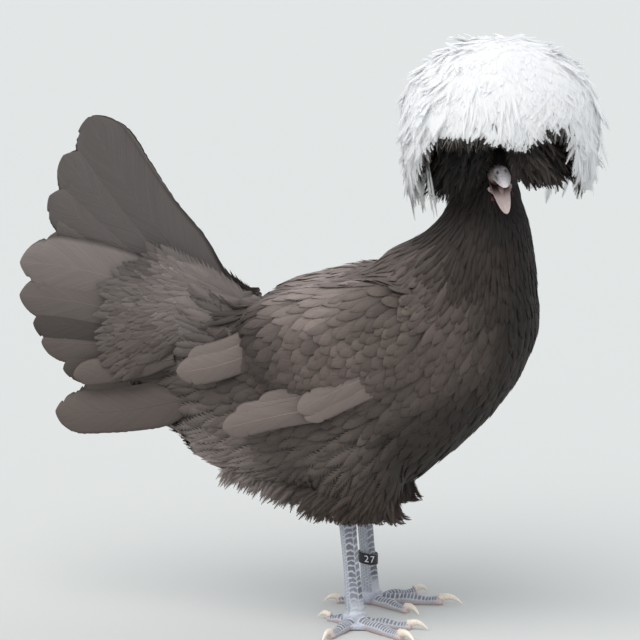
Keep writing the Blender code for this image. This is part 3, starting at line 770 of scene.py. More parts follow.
tries = 90000
roots, root_faces = scatter_roots(tries, body_spacing, open_to_view, 11)
draw = chance(12)
heading, sizes = lie_at(roots)
heading = heading + draw.normal(0, 0.08, len(roots))
length, width, lift, down, cling = (sizes * (1 + draw.normal(0, 0.09, sizes.shape))).T
down = np.clip(down, 0.08, 0.92)
cling = np.clip(cling, 0, 1)
path, normal = follow_skin(roots, pointing(heading), length, lift, cling, 5)
path[:, :, 2] = np.maximum(path[:, :, 2], LOWEST_VANE)
clear = np.hypot(roots[:, 0] - FOLD[0], roots[:, 2] - FOLD[1]) >= FOLD_REACH
clear |= np.abs(roots[:, 1]) <= 0.030
roots, root_faces, path, normal, width, down = (
    rows[clear] for rows in (roots, root_faces, path, normal, width, down)
)
tones = markings_and_painted_light(roots) * (1 + draw.normal(0, 0.09, (len(roots), 1)))
for name, part in (("coat_fore", roots[:, 0] > 0.06), ("coat_aft", roots[:, 0] <= 0.06)):
    coat_piece(
        name, path[part], normal[part], width[part], 11, ROUND_TIP, down[part], 13,
        tones[part], skin_flat[root_faces[part]], body_finish, "plumage",
    )

# %% [markdown]
# Soft down hangs from belly, vent and thighs, past the edge of the coat. Each
# plume leans back or down at its own angle, so the lower outline is ragged and light.

# %% Hanging down
PLUMES = 1900


def hangs(points):
    x, z = points[:, 0], points[:, 2]
    line = 0.104 + 0.35 * np.clip(-0.020 - x, 0, 0.08)
    return (z > 0.082) & (z < line) & (x < 0.080) & (x > -0.060)


roots, root_faces = scatter_roots(PLUMES * 3, even_spacing(0.0024), hangs, 21)
draw = chance(22)
many = len(roots)
front = smooth_step(0.045, 0.070, roots[:, 0])
thigh = smooth_step(0.102, 0.088, roots[:, 2]) * smooth_step(-0.005, 0.010, roots[:, 0])
heading = np.radians(208 + 45 * thigh + 55 * front + draw.normal(0, 13, many))
out_side = np.where(roots[:, 1] > 0, 1.0, -1.0)
ahead = pointing(heading, out_side * 0.10 + draw.normal(0, 0.15, many))
length = 0.020 - 0.008 * thigh - 0.007 * smooth_step(0, -0.05, roots[:, 0]) + draw.normal(0, 0.003, many)
t = np.linspace(0, 1, 6)[None, :, None]
path = roots[:, None] + unit(ahead)[:, None] * length[:, None, None] * t
path = path + np.array([0.002, 0, -0.004]) * t**2
lowest = 0.073 + 0.006 * smooth_step(-0.005, 0.020, roots[:, :1]) + 0.003 * draw.random((many, 1))
lowest += 0.010 * smooth_step(0.034, 0.008, np.abs(roots[:, 1:2]))
path[:, :, 2] = np.maximum(path[:, :, 2], lowest)
normal = unit(np.stack([draw.normal(0, 0.3, many), out_side, draw.normal(0, 0.2, many)], axis=1))
normal = np.repeat(normal[:, None], 6, 1)
# the hanging down is painted a little paler than the coat above, as painted light for plumes that hang in
# the shade under the body
tone = markings_and_painted_light(roots) * (1.05 + draw.normal(0, 0.12, (many, 1)))
coat_piece(
    "down_fringe", path, normal, length * 0.26, 14, ROUND_TIP, np.full(many, 0.78), 23,
    tone, skin_flat[root_faces], body_finish, "plumage", lead=2.6, stray=0.3, roll=0.2,
)

# %% [markdown]
# Long soft hackles pour over the border between neck and shoulder. They cling less
# than the rest, so they bridge the hollow there.


# %% Cape
def under_cape(points):
    x, z = points[:, 0], points[:, 2]
    band = np.abs(z - 0.274 - 0.3 * (x - 0.092)) < 0.015
    return band & (x > 0.070) & (x < 0.118) & (np.abs(points[:, 1]) > 0.018)


roots, root_faces = scatter_roots(3000, even_spacing(0.0040), under_cape, 31)
draw = chance(32)
many = len(roots)
heading = np.radians(226 + 300 * (roots[:, 0] - 0.092) + draw.normal(0, 4, many))
length = draw.uniform(0.034, 0.048, many)
path, normal = follow_skin(roots, pointing(heading), length, np.full(many, 0.06), np.full(many, 0.45), 6)
coat_piece(
    "cape", path, normal, draw.uniform(0.0075, 0.0105, many), 12, ROUND_TIP, np.full(many, 0.40), 33,
    markings_and_painted_light(path[:, 3]) * (1.0 + draw.normal(0, 0.10, (many, 1))), skin_flat[root_faces], body_finish,
    "plumage",
)

# %% [markdown]
# Hard parts such as beak, claws and shafts are lofts: closed rings of points set one
# after another along a line, with a cap at each end. One helper joins such rings,
# one colours the caps, one joins a tube that closes on itself, and one more puts
# several finished pieces together as one.


# %% Lofts
def loft(rings):
    """Points and triangles of closed rings (rows, around, 3) joined end to end and capped."""
    rings = np.asarray(rings, float)
    rows, around, _ = rings.shape
    ring = np.arange(around)
    after = (ring + 1) % around
    triangles = []
    for row in range(rows - 1):
        a, b = row * around + ring, row * around + after
        triangles += [np.stack([a, b, b + around], 1), np.stack([a, b + around, a + around], 1)]
    start, end = rows * around, rows * around + 1
    last = (rows - 1) * around
    triangles += [np.stack([0 * ring + start, after, ring], 1)]
    triangles += [np.stack([0 * ring + end, last + ring, last + after], 1)]
    points = np.concatenate([rings.reshape(-1, 3), rings[[0, -1]].mean(axis=1)])
    return points, np.concatenate(triangles)


def with_caps(tone):
    """Colours of the rings of a loft, and one more for the middle of each cap."""
    return np.concatenate([tone.reshape(-1, 3), tone[[0, -1]].mean(axis=1)])


def wrapped_web(turns, around):
    """Triangles of a tube that closes on itself both ways."""
    here = np.arange(turns * around).reshape(turns, around)
    ahead = np.roll(here, -1, axis=0)
    beside, beyond = np.roll(here, -1, axis=1), np.roll(ahead, -1, axis=1)
    corners = ((here, ahead, beyond), (here, beyond, beside))
    return np.concatenate([np.stack(three, -1).reshape(-1, 3) for three in corners])


def ringed(spots, radius, side, top, wide=1.0, tall=1.0, around=16):
    """Round sections set square to a line."""
    angle = circle(around)
    ring = side * (np.cos(angle) * wide)[:, None] + top * (np.sin(angle) * tall)[:, None]
    return spots[:, None] + radius[:, None, None] * ring[None]


def gathered(pieces):
    """Several sets of arrays, points first and triangles second, as one set."""
    starts = np.cumsum([0] + [len(piece[0]) for piece in pieces[:-1]])
    together = []
    for index in range(len(pieces[0])):
        parts = [piece[index] for piece in pieces]
        if index == 1:
            parts = [part + start for part, start in zip(parts, starts)]
        together.append(np.concatenate(parts))
    return together


def horn_material(name, roughness, bump_size, grain_size):
    """Horn, scale or bare skin in the colour that its points carry, finely pitted."""
    made = plain_material(name, (0.5, 0.5, 0.5), roughness)
    tree = made.node_tree
    where = tree.nodes.new("ShaderNodeTexCoord")
    grain = noise(tree, where.outputs["Object"], 1 / grain_size, 4.0)
    level = tree.nodes.new("ShaderNodeMapRange")
    level.inputs["To Min"].default_value = 0.72
    level.inputs["To Max"].default_value = 1.22
    tree.links.new(grain, level.inputs["Value"])
    lit_tone(tree, level.outputs[0], grain, 0.4, bump_size)
    return made


horn_finish = horn_material("horn", 0.42, 0.0004, 0.0014)
scale_finish = horn_material("leg_scale", 0.55, 0.0003, 0.0012)
print("horn and scale finishes", 2)

# %% [markdown]
# Big feathers of wing and tail are placed one by one. Each is a thin closed sheet
# with a rounded tip, a finely frayed edge and a few short splits near the tip, bowed
# like a shallow gutter, with a tapering shaft along it.


# %% Big feathers
def bowed_line(root, tip, bow, t):
    """Points of a bowed line in the side view, the way it bows, and its chord's length."""
    chord = np.array(tip, float) - root
    size = np.linalg.norm(chord)
    side = np.array([-chord[1], chord[0]]) / size
    line = root + t[:, None] * chord + (4 * t * (1 - t))[:, None] * side * bow
    return line, side, size


def big_feather(root, tip, width, bow, plane, thickness=0.0006, rows=64, seed=0, fray=0.03, splits=3):
    """Closed sheet from root to tip. plane(x, z, depth) gives each point's Y."""
    draw = chance(seed)
    columns = 12
    t = 1 - (1 - np.linspace(0, 1, rows + 1)) ** 1.5
    line, _, size = bowed_line(root, tip, bow, t)
    forward = unit(np.gradient(line, t, axis=0))
    across = np.stack([-forward[:, 1], forward[:, 0]], axis=1)
    grow = smooth_step(0.0, 0.35, t) * 0.55 + 0.45
    blunt = np.clip((1 - t) / (0.55 * width / size), 0, 1)
    shape = grow * np.sqrt(np.clip(1 - (1 - blunt) ** 2, 0, 1))
    u = np.linspace(-1, 1, columns + 1)
    half = width / 2 * shape * (1 + 0.03 * np.sin(t * 9 + draw.random() * 6))
    reach = np.repeat(u[None], rows + 1, 0)
    reach[:, [0, -1]] *= 1 - fray * draw.random((rows + 1, 2))
    for _ in range(splits):
        notch = draw.uniform(0.08, 0.22) * np.exp(-(((t - draw.uniform(0.80, 0.985)) / 0.005) ** 2))
        half_of = slice(0, 6) if draw.random() < 0.5 else slice(7, 13)
        reach[:, half_of] *= 1 - notch[:, None]
    grid = line[:, None] + across[:, None] * (reach * half[:, None])[..., None]
    grid = grid - forward[:, None] * (u**2 * 0.10 * width * shape[:, None])[..., None]
    camber = u**2 * (half * 0.22)[:, None]
    layers = []
    for skin_side in (0, 1):
        depth = camber + skin_side * thickness * (1 - np.abs(u) ** 3)
        y = plane(grid[..., 0], grid[..., 1], depth)
        layers.append(np.stack([grid[..., 0], y, grid[..., 1]], axis=-1).reshape(-1, 3))
    wide = columns + 1
    r, c = np.meshgrid(np.arange(rows), np.arange(columns), indexing="ij")
    a = (r * wide + c).ravel()
    top = np.concatenate([np.stack([a, a + 1, a + wide + 1], 1), np.stack([a, a + wide + 1, a + wide], 1)])
    count = (rows + 1) * wide
    edge = [r * wide for r in range(rows + 1)]
    edge += [rows * wide + c for c in range(1, wide)]
    edge += [r * wide + columns for r in range(rows - 1, -1, -1)]
    edge += [c for c in range(columns - 1, 0, -1)]
    rim = []
    for i, j in zip(edge, edge[1:] + edge[:1]):
        rim += [(i, j, j + count), (i, j + count, i + count)]
    triangles = np.concatenate([top, top[:, ::-1] + count, np.array(rim)])
    along = np.repeat(t[:, None], wide, 1)
    own = np.full_like(along, draw.random())
    reading = np.stack([np.repeat(u[None], rows + 1, 0), along, own], axis=-1)
    return np.concatenate(layers), triangles, np.concatenate([reading.reshape(-1, 3)] * 2)


def shaft_strip(root, tip, bow, plane, thick, rows=20):
    """A tapering four-sided shaft, standing just proud of its vane."""
    t = np.linspace(0, 0.93, rows + 1)
    line, side, _ = bowed_line(root, tip, bow, t)
    radius = thick * (1 - 0.85 * t)
    rings = []
    for across, depth in ((-1, 0.0), (0, -0.5), (1, 0.0), (0, 0.6)):
        spot = line + side * (across * radius)[:, None]
        y = plane(spot[:, 0], spot[:, 1], depth * radius)
        rings.append(np.stack([spot[:, 0], y, spot[:, 1]], axis=-1))
    points, triangles = loft(np.stack(rings, axis=1))
    reading = np.zeros((len(points), 3))
    reading[:, 1] = np.concatenate([np.repeat(t, 4), t[[0, -1]]])
    reading[:, 2] = 0.5
    return points, triangles, reading


def feather_set(name, table, plane_of, tone_of, shaft, shaft_light, nodes):
    """Both sides of a set of big feathers as one mesh."""
    pieces = []
    for sign in (-1, 1):
        for number, row in enumerate(table):
            root, tip, width, bow = row[0:2], row[2:4], row[4], row[5]
            plane = plane_of(sign, row)
            vane = big_feather(root, tip, width, bow, plane, seed=number + len(table))
            tone = tone_of(row)[None]
            pieces.append((*vane, tone.repeat(len(vane[0]), 0)))
            rib = shaft_strip(root, tip, bow, plane, shaft)
            pieces.append((*rib, tone.repeat(len(rib[0]), 0) * shaft_light))
    points, triangles, reading, tones = gathered(pieces)
    flat = nearest_flat(points) + reading[:, :2] * 0.0015
    made = mesh_object(name, points, triangles, tones, reading, flat)
    made.data.materials.append(quill_finish)
    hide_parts(*nodes)
    print(name, 2 * len(table), "feathers", len(triangles), "triangles")


# %% [markdown]
# The tail stands up as two half fans that lean together like a tent. Every feather
# has a layer of its own in the tent: within a bundle each slides under the one above.

# %% Tail
FAN_FOOT = np.array([-0.052, 0.238])
RIDGE = math.radians(131)
TENT = math.tan(math.radians(11))
TAIL = (
    # root x and z, tip x and z, width, bow, layer, shade
    (-0.0640, 0.237, -0.1680, 0.3700, 0.046, 0.009, 4.0, 1.00),
    (-0.0680, 0.232, -0.1860, 0.3420, 0.046, 0.005, 4.8, 1.00),
    (-0.0740, 0.229, -0.1960, 0.3120, 0.040, 0.001, 5.5, 0.96),
    (-0.0780, 0.226, -0.1900, 0.2929, 0.028, 0.000, 6.2, 0.85),
    (-0.0850, 0.222, -0.2148, 0.2640, 0.044, -0.010, 0.6, 1.50),
    (-0.0850, 0.212, -0.2150, 0.2400, 0.036, -0.004, 1.6, 1.10),
    (-0.0850, 0.202, -0.2050, 0.2190, 0.034, -0.003, 2.6, 0.52),
    (-0.0850, 0.195, -0.1990, 0.2050, 0.032, -0.002, 3.4, 1.05),
    (-0.0900, 0.190, -0.1830, 0.1850, 0.028, -0.002, 4.2, 0.70),
    (-0.1000, 0.194, -0.1735, 0.1815, 0.020, 0.000, -0.6, 1.25),
    (-0.0800, 0.168, -0.1885, 0.1535, 0.034, 0.006, 5.5, 1.15),
)


def fan_plane(sign, row):
    def plane(x, z, depth):
        below = (x - FAN_FOOT[0]) * -math.sin(RIDGE) + (z - FAN_FOOT[1]) * math.cos(RIDGE)
        return sign * (0.0125 + np.maximum(below, -0.020) * TENT - row[6] * 0.0016 - depth)

    return plane


def tail_tone(row):
    middle = np.array([[(row[0] + row[2]) / 2, 0, (row[1] + row[3]) / 2]])
    return markings_and_painted_light(middle)[0] * row[7]


feather_set(
    "tail_fan", TAIL, fan_plane, tail_tone, 0.0006, 1.1,
    [f"tail_feather_{side}_{n}" for side in ("left", "right") for n in range(1, 8)],
)

# %% [markdown]
# Soft coverts hide the feet of the tail feathers. They lie on the same tent, fan out
# from the same foot, and reach further back low down than at the top.

# %% Tail coverts
COVERTS = 300
OVER_FAN = (0,) * 6 + (-1.4,)
for sign, word in ((-1, "right"), (1, "left")):
    draw = chance(40 + sign)
    turn = draw.uniform(149, 214, COVERTS)
    far = np.interp(turn, (136, 147, 165, 180, 197, 214), (0.056, 0.070, 0.096, 0.106, 0.112, 0.112))
    reach = np.sqrt(draw.uniform(0.045**2, far**2))
    length = 0.052 + draw.normal(0, 0.005, COVERTS)
    t = np.linspace(0, 1, 6)[None]
    run = reach[:, None] + length[:, None] * (t - 1)
    angle = np.radians(turn)[:, None] + draw.normal(0, 0.10, COVERTS)[:, None] * (t - 0.5)
    x = FAN_FOOT[0] + run * np.cos(angle)
    z = FAN_FOOT[1] + run * np.sin(angle)
    path = np.stack([x, fan_plane(sign, OVER_FAN)(x, z, 0.0020 - 0.0026 * t), z], axis=-1)
    normal = np.zeros_like(path) + unit(np.array([0.147, sign, 0.127]))
    tone = markings_and_painted_light(path[:, -1]) * (1 + draw.normal(0, 0.10, (COVERTS, 1)))
    patch = smooth_step(0.070, 0.076, reach) * (1 - smooth_step(164, 172, turn))
    coat_piece(
        "tail_coverts_" + word, path, normal, 0.0170 * (1 + draw.normal(0, 0.12, COVERTS)), 14, ROUND_TIP,
        np.full(COVERTS, 0.55), 42, tone * (1 - 0.30 * patch)[:, None], nearest_flat(path[:, 0]),
        quill_finish, "tail_plumage", lead=1.8,
    )

# %% [markdown]
# Below the wing coverts the folded flight feathers show: two bundles that sweep
# back, and the blunt inner ones at the wing's end. All are a little paler than the
# coat beside them, and their roots dive under the coverts.

# %% Flight feathers
FLIGHT = (
    # root x and z, tip x and z, width, bow, distance from the mid-plane at root and tip
    (0.0850, 0.2043, 0.0010, 0.1657, 0.0190, -0.003, 0.0590, 0.0700),
    (0.0830, 0.1950, 0.0060, 0.1600, 0.0170, -0.003, 0.0580, 0.0685),
    (0.0440, 0.172, -0.0555, 0.1500, 0.0200, -0.002, 0.0600, 0.0650),
    (0.0400, 0.176, -0.0480, 0.1590, 0.0170, -0.001, 0.0600, 0.0635),
    (0.0300, 0.180, -0.0300, 0.1680, 0.0160, -0.001, 0.0600, 0.0625),
    (-0.0240, 0.210, -0.0930, 0.1885, 0.0225, 0.004, 0.0480, 0.0500),
    (-0.0260, 0.220, -0.0850, 0.1980, 0.0180, 0.003, 0.0460, 0.0480),
)


def wing_plane(sign, row):
    def plane(x, z, depth):
        part = np.clip((x - row[0]) / (row[2] - row[0]), 0, 1)
        return sign * (blend(row[6], row[7], smooth_step(0, 0.55, part)) - depth)

    return plane


def wing_tone(row):
    return linear((112, 101, 96)) * 1.02


feather_set(
    "flight_feathers", FLIGHT, wing_plane, wing_tone, 0.0005, 1.35,
    ["primaries_left", "primaries_right", "tertials_left", "tertials_right"],
)

# %% [markdown]
# The crest is a half globe above and a hanging skirt below. Two numbers place a spot
# on it: the way round, and how far the crest has fallen there. The skirt ends high
# over the face and low behind the head. White plumes grow close under the surface and
# follow it, and dark ones reach out to it from a knob on the skull.

# %% Crest shape
YAW = math.radians(-70)
WHITE = np.array([0.94, 0.945, 0.95])
SPIRAL = 3 - math.sqrt(5)
KNOB = np.array([0.1345, 0.0, 0.350])
CANOPY = np.array([0.1375, 0.0, 0.367])
CANOPY_LONG = 0.0755
CANOPY_WIDE = 0.0720
CANOPY_RISE = 0.0680
SKIRT_DROP = 0.060
DOME_ARC = 0.108
HEM = (
    # turn away from the face in degrees, how far the white falls there
    (-180, 1.75),
    (-125, 1.85),
    (-95, 1.90),
    (-81, 1.80),
    (-70, 1.45),
    (-58, 1.14),
    (-46, 1.05),
    (-22, 1.05),
    (-10, 1.12),
    (-4, 1.20),
    (4, 1.14),
    (12, 1.00),
    (24, 0.95),
    (32, 1.05),
    (40, 1.50),
    (52, 1.75),
    (90, 1.70),
    (180, 1.75),
)


def turn_from_face(azimuth):
    return np.degrees(np.arctan2(np.sin(azimuth - YAW), np.cos(azimuth - YAW)))


def hem_of(azimuth):
    """How far the canopy falls at each side: 1 is its widest ring and 2 its lowest."""
    table = np.array(HEM)
    return np.interp(turn_from_face(azimuth), table[:, 0], table[:, 1])


def canopy_point(azimuth, fall, swell=1.0):
    """Place on the canopy. fall is 0 at the top, 1 at the widest ring and 2 at the lowest hem.

    Below 0 it lies past the top, on the other side."""
    dome = np.clip(fall, -1, 1) * math.pi / 2
    skirt = np.clip(fall - 1, 0, 1.4)
    ring = np.sign(dome) * np.abs(np.sin(dome)) ** 0.92 * (1 - 0.13 * skirt**1.6) * swell
    height = CANOPY_RISE * np.cos(dome) ** 0.92 * swell - SKIRT_DROP * skirt
    spot = [CANOPY_LONG * ring * np.cos(azimuth), CANOPY_WIDE * ring * np.sin(azimuth), height]
    return CANOPY + np.stack(spot, axis=-1)


def outward_of(path):
    return unit(path - (CANOPY - (0, 0, 0.022)))


def falling_at(azimuth, fall, swell=1.0):
    """The way down over the canopy at each spot."""
    return unit(canopy_point(azimuth, fall + 0.03, swell) - canopy_point(azimuth, fall - 0.03, swell))


def plume_paths(azimuth, fall, tip_swell, length, stray, seed):
    """Shafts that follow the canopy down to where they end, and lift off it at the tip."""
    draw = chance(seed)
    t = np.linspace(0, 1, 12)[None]
    end = DOME_ARC * np.minimum(fall, 1) + SKIRT_DROP * np.maximum(fall - 1, 0)
    run = (end - length)[:, None] + length[:, None] * t
    at = np.where(run < DOME_ARC, run / DOME_ARC, 1 + (run - DOME_ARC) / SKIRT_DROP)
    root_swell = np.minimum(0.93, tip_swell)[:, None]
    close = np.minimum(tip_swell, 0.966)[:, None]
    swell = blend(root_swell, close, t**0.8) + (tip_swell[:, None] - close) * t**3
    ring = np.sin(np.clip(at, 0.12, 1) * math.pi / 2)
    twist = (np.clip(draw.normal(0, 1, len(fall)), -2, 2) * stray * length / 0.07)[:, None] * (t - 0.6)
    path = canopy_point(azimuth[:, None] + twist / ring, at, swell)
    return path, outward_of(path)


def inner_paths(azimuth, fall, swell, droop, bend, seed):
    """Shafts that leave the knob and bend down towards the canopy."""
    draw = chance(seed)
    many = len(azimuth)
    lean = np.minimum(fall, 1.6) * 0.9
    leave = np.stack([np.sin(lean) * np.cos(azimuth), np.sin(lean) * np.sin(azimuth), np.cos(lean)], axis=-1)
    start = KNOB + np.array([0.020, 0.0165, 0.018]) * leave
    end = canopy_point(azimuth, fall, swell)
    arrive = outward_of(end) * (1 - droop)[:, None] + falling_at(azimuth, fall, swell) * droop[:, None]
    arrive = unit(arrive + draw.normal(0, bend, (many, 3)))
    size = np.linalg.norm(end - start, axis=1)[:, None]
    first = start + unit(start - KNOB + (0, 0, 0.010)) * size * 0.45
    last = end - arrive * size * 0.42
    t = np.linspace(0, 1, 12)[None, :, None]
    path = start[:, None] * (1 - t) ** 3 + 3 * first[:, None] * t * (1 - t) ** 2
    path = path + 3 * last[:, None] * t**2 * (1 - t) + end[:, None] * t**3
    return path, outward_of(path)


print("canopy", CANOPY.round(3), "hem", len(HEM))

# %% [markdown]
# Down packs the inside of the crest so tightly that no light comes through it. One
# white bumpy shell stands for that down, just under the plumes, and stops short of
# their hem on every side. Its inner edge is painted as dark as the plumes beside it:
# partly their dark colour, partly painted shade in the hollow under the canopy.

# %% Down inside the crest
ROUND = 160
LEVELS = 60
turns = circle(ROUND)
shell = []
for level in range(LEVELS):
    fall = (level + 0.02) / (LEVELS - 1) * (hem_of(turns) - 0.34)
    ripple = 0.953 + 0.003 * np.sin(turns * 17 + level * 0.6) + 0.002 * np.sin(turns * 41 - level * 1.1)
    shell.append(canopy_point(turns, fall, ripple))
shell.append(canopy_point(turns, hem_of(turns) - 0.36, 0.86))
shell.append(canopy_point(turns, 0 * turns + 0.75, 0.55))
rows = len(shell)
shell = np.concatenate(shell)
ring = np.arange(ROUND)
after = (ring + 1) % ROUND
web = []
for level in range(rows - 1):
    a, b = level * ROUND + ring, level * ROUND + after
    web += [np.stack([a, a + ROUND, b + ROUND], 1), np.stack([a, b + ROUND, b], 1)]
web = np.concatenate(web)
reading = np.full((len(shell), 3), 0.5)
reading[:, 0] = np.tile(turns, rows) * 10
reading[:, 1] = np.repeat(np.linspace(0, 1, rows), ROUND)
tone = np.repeat(WHITE[None], len(shell), 0)
# the two inner rings of the white down are painted dark: the dark plumes beside them and painted shade under
# the canopy
tone[-2 * ROUND :] = linear((44, 38, 35))
down_shell = mesh_object("crest_down", shell, web, tone, reading, nearest_flat(shell))
down_shell.data.materials.append(crest_finish)
print("down shell", len(web), "triangles")

# %% [markdown]
# White plumes cover the canopy in three pieces, so that no piece grows too heavy.
# Their ends are spread evenly by area. Most lie close, some lift off at the sides and
# behind and break the outline into soft points, and a few locks hang long at the sides
# and over the brow.

# %% Crest coat
LOCKS = (
    # tip of the lock: x, y, z, then how many plumes it has
    (0.0778, -0.020, 0.3098, 10),
    (0.0965, -0.035, 0.2990, 4),
    (0.0876, -0.028, 0.3049, 6),
    (0.0720, -0.010, 0.3150, 10),
    (0.0674, 0.004, 0.3238, 10),
    (0.2065, -0.020, 0.3194, 12),
    (0.2014, -0.030, 0.3240, 10),
    (0.2150, 0.000, 0.3325, 8),
    (0.1555, -0.070, 0.3590, 14),
    (0.1252, -0.071, 0.3650, 10),
    (0.1420, -0.069, 0.3650, 8),
)
LOOSE = 3600
index = np.arange(LOOSE)
draw = chance(60)
azimuth = index * math.pi * SPIRAL + draw.normal(0, 0.06, LOOSE)
hem = hem_of(azimuth)
whole = np.minimum(hem, 1) ** 2 + np.maximum(hem - 1, 0) * 1.5
share = (index + 0.5) / LOOSE
dome_part = np.minimum(hem, 1) ** 2 / whole
fall = np.where(share < dome_part, np.sqrt(share * whole), 1 + (share - dome_part) * whole / 1.5)
edge = draw.random(LOOSE) < 0.12
ragged = smooth_step(80, 120, np.abs(turn_from_face(azimuth))) * draw.normal(0, 0.13, LOOSE)
fall = np.where(edge, hem - 0.06 * draw.random(LOOSE) + ragged, fall)
fall = np.clip(fall + draw.normal(0, 0.02, LOOSE), 0.02, 2.2)
tip_swell = 0.967 + draw.normal(0, 0.003, LOOSE)
tuft = (draw.random(LOOSE) < 0.06) & (np.abs(turn_from_face(azimuth)) > 45)
tip_swell = tip_swell + tuft * draw.uniform(0.02, 0.09, LOOSE)
length = 0.036 + draw.normal(0, 0.004, LOOSE)
wide = 0.0105 * (1 + draw.normal(0, 0.15, LOOSE)) * np.where(tuft, 0.75, 1)
stray = np.full(LOOSE, 0.4)
for x, y, z, plumes in LOCKS:
    off = np.array([x, y, z]) - CANOPY
    skirt = max(-off[2] / SKIRT_DROP, 0)
    a, b = off[0] / CANOPY_LONG, off[1] / CANOPY_WIDE
    azimuth = np.append(azimuth, math.atan2(b, a) + draw.normal(0, 0.055, plumes))
    fall = np.append(fall, 1 + skirt - 0.28 * draw.random(plumes) ** 1.5)
    swell = math.hypot(a, b) / (1 - 0.13 * skirt**1.6)
    tip_swell = np.append(tip_swell, swell + draw.normal(0, 0.008, plumes))
    length = np.append(length, draw.uniform(0.040, 0.055, plumes))
    wide = np.append(wide, draw.uniform(0.003, 0.0055, plumes))
    stray = np.append(stray, np.full(plumes, 0.1))
many = len(azimuth)
path, normal = plume_paths(azimuth, fall, tip_swell, length, stray, 61)
fringe = np.clip(draw.normal(0.62, 0.1, many), 0.3, 0.85)
tone = WHITE * (1 + draw.normal(0, 0.01, (many, 1)))
roots_flat = nearest_flat(path[:, 0])
for part in range(3):
    mine = np.arange(many) % 3 == part
    piece = coat_piece(
        f"crest_plumes_{part + 1}", path[mine], normal[mine], wide[mine], 18, PLUME, fringe[mine],
        80 + part, tone[mine], roots_flat[mine], crest_finish, "crest",
        lead=2.2, stray=0.4, crowd=1.3, roll=0.10, curl=0.05, camber=0.10,
    )
    if part == 0:
        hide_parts("crest")

# %% [markdown]
# Tufts break the outline: a few broad plumes side by side that stand half out of the
# mass, with blunt tips that split. The front of the crest has none. Along the hem over
# the face, plumes of every tone between white and dark soften the border.

# %% Tufts and hem
BROAD = (0.30, 0.42, 0.55, 0.68, 0.80, 0.90, 0.97, 1.0, 1.0, 0.92, 0.50)
TUFTS = 120
draw = chance(70)
index = np.arange(TUFTS)
middle = index * math.pi * SPIRAL + draw.normal(0, 0.1, TUFTS)
at = 0.12 + (hem_of(middle) - 0.14) * ((index + 0.5) / TUFTS) ** 0.75
which = np.repeat(index, draw.integers(4, 9, TUFTS))
which = which[np.abs(turn_from_face(middle[which]) + 10) > 48]
many = len(which)
azimuth = middle[which] + draw.normal(0, 0.045, many) / np.clip(at[which], 0.35, 1)
fall = at[which] + draw.normal(0, 0.03, many)
swell = draw.uniform(0.975, 1.06, TUFTS)[which] + draw.normal(0, 0.006, many)
end = canopy_point(azimuth, fall, swell)
droop = draw.uniform(0.50, 0.80, TUFTS)[which][:, None]
out = outward_of(end)
way = unit(out * (1 - droop) + falling_at(azimuth, fall) * droop + draw.normal(0, 0.06, (many, 3)))
before = 1 - np.linspace(0, 1, 8)[None, :, None]
length = draw.uniform(0.024, 0.034, many)
path = end[:, None] - (way[:, None] * before + out[:, None] * 0.25 * before**2) * length[:, None, None]
coat_piece(
    "crest_tufts", path, outward_of(path), draw.uniform(0.007, 0.011, many), 14, BROAD,
    np.clip(draw.normal(0.5, 0.1, many), 0.2, 0.8), 71, WHITE + np.zeros((many, 3)),
    nearest_flat(path[:, 0]), crest_finish, "crest", lead=2.0, stray=0.4, roll=0.1, curl=0.05, camber=0.1,
)
HEM_PLUMES = 1000
draw = chance(75)
turn = draw.uniform(-72, 50, HEM_PLUMES)
azimuth = YAW + np.radians(turn)
past = draw.uniform(-0.16, 0.16, HEM_PLUMES)
fall = hem_of(azimuth) + np.minimum(past, 0.20 * smooth_step(8, 26, np.abs(turn + 3)))
path, normal = plume_paths(
    azimuth, fall, draw.uniform(0.93, 0.97, HEM_PLUMES), draw.uniform(0.022, 0.034, HEM_PLUMES),
    np.full(HEM_PLUMES, 0.35), 76,
)
mix = (0.45 - 3.5 * past[:, None] + draw.normal(0, 0.25, (HEM_PLUMES, 1))).clip(0.02, 1) ** 1.5
coat_piece(
    "hem_plumes", path, normal, draw.uniform(0.0018, 0.0036, HEM_PLUMES), 12, PLUME,
    np.full(HEM_PLUMES, 0.6), 77, linear((62, 54, 50)) * (1 - mix) + WHITE * mix,
    nearest_flat(path[:, 0]), crest_finish, "crest", lead=2.2, stray=0.5, roll=0.2, camber=0.1,
)

# %% [markdown]
# Under the white the crest is dark: soft black plumes stand out sideways from the
# cheeks and hang under the canopy, on both sides of the face. Those on the head's
# right side are painted much darker than those on its left, as painted shade.

# %% Dark plumes of the face
DARK = 1700
draw = chance(90)
right_side = draw.random(DARK) < 0.5
turn = np.where(right_side, -draw.uniform(10, 84, DARK), draw.uniform(5, 66, DARK))
clear = np.where(right_side, smooth_step(-16, -42, turn), smooth_step(4, 14, turn))
low_end = np.where(right_side, 1.86, 1.70 - 0.12 * smooth_step(48, 60, turn)) - 0.85 * (1 - clear)
fall = blend(0.80, low_end, np.sqrt(draw.random(DARK)))
swell = draw.uniform(0.55, 0.90, DARK)
behind = ~right_side & (draw.random(DARK) < 0.22)
turn = np.where(behind, draw.uniform(8, 60, DARK), turn)
fall = np.where(behind, draw.uniform(1.40, 1.62, DARK), fall)
swell = np.where(behind, draw.uniform(0.30, 0.60, DARK), swell)
path, normal = inner_paths(YAW + np.radians(turn), fall, swell, 0.20 + 0.5 * draw.random(DARK), 0.14, 91)
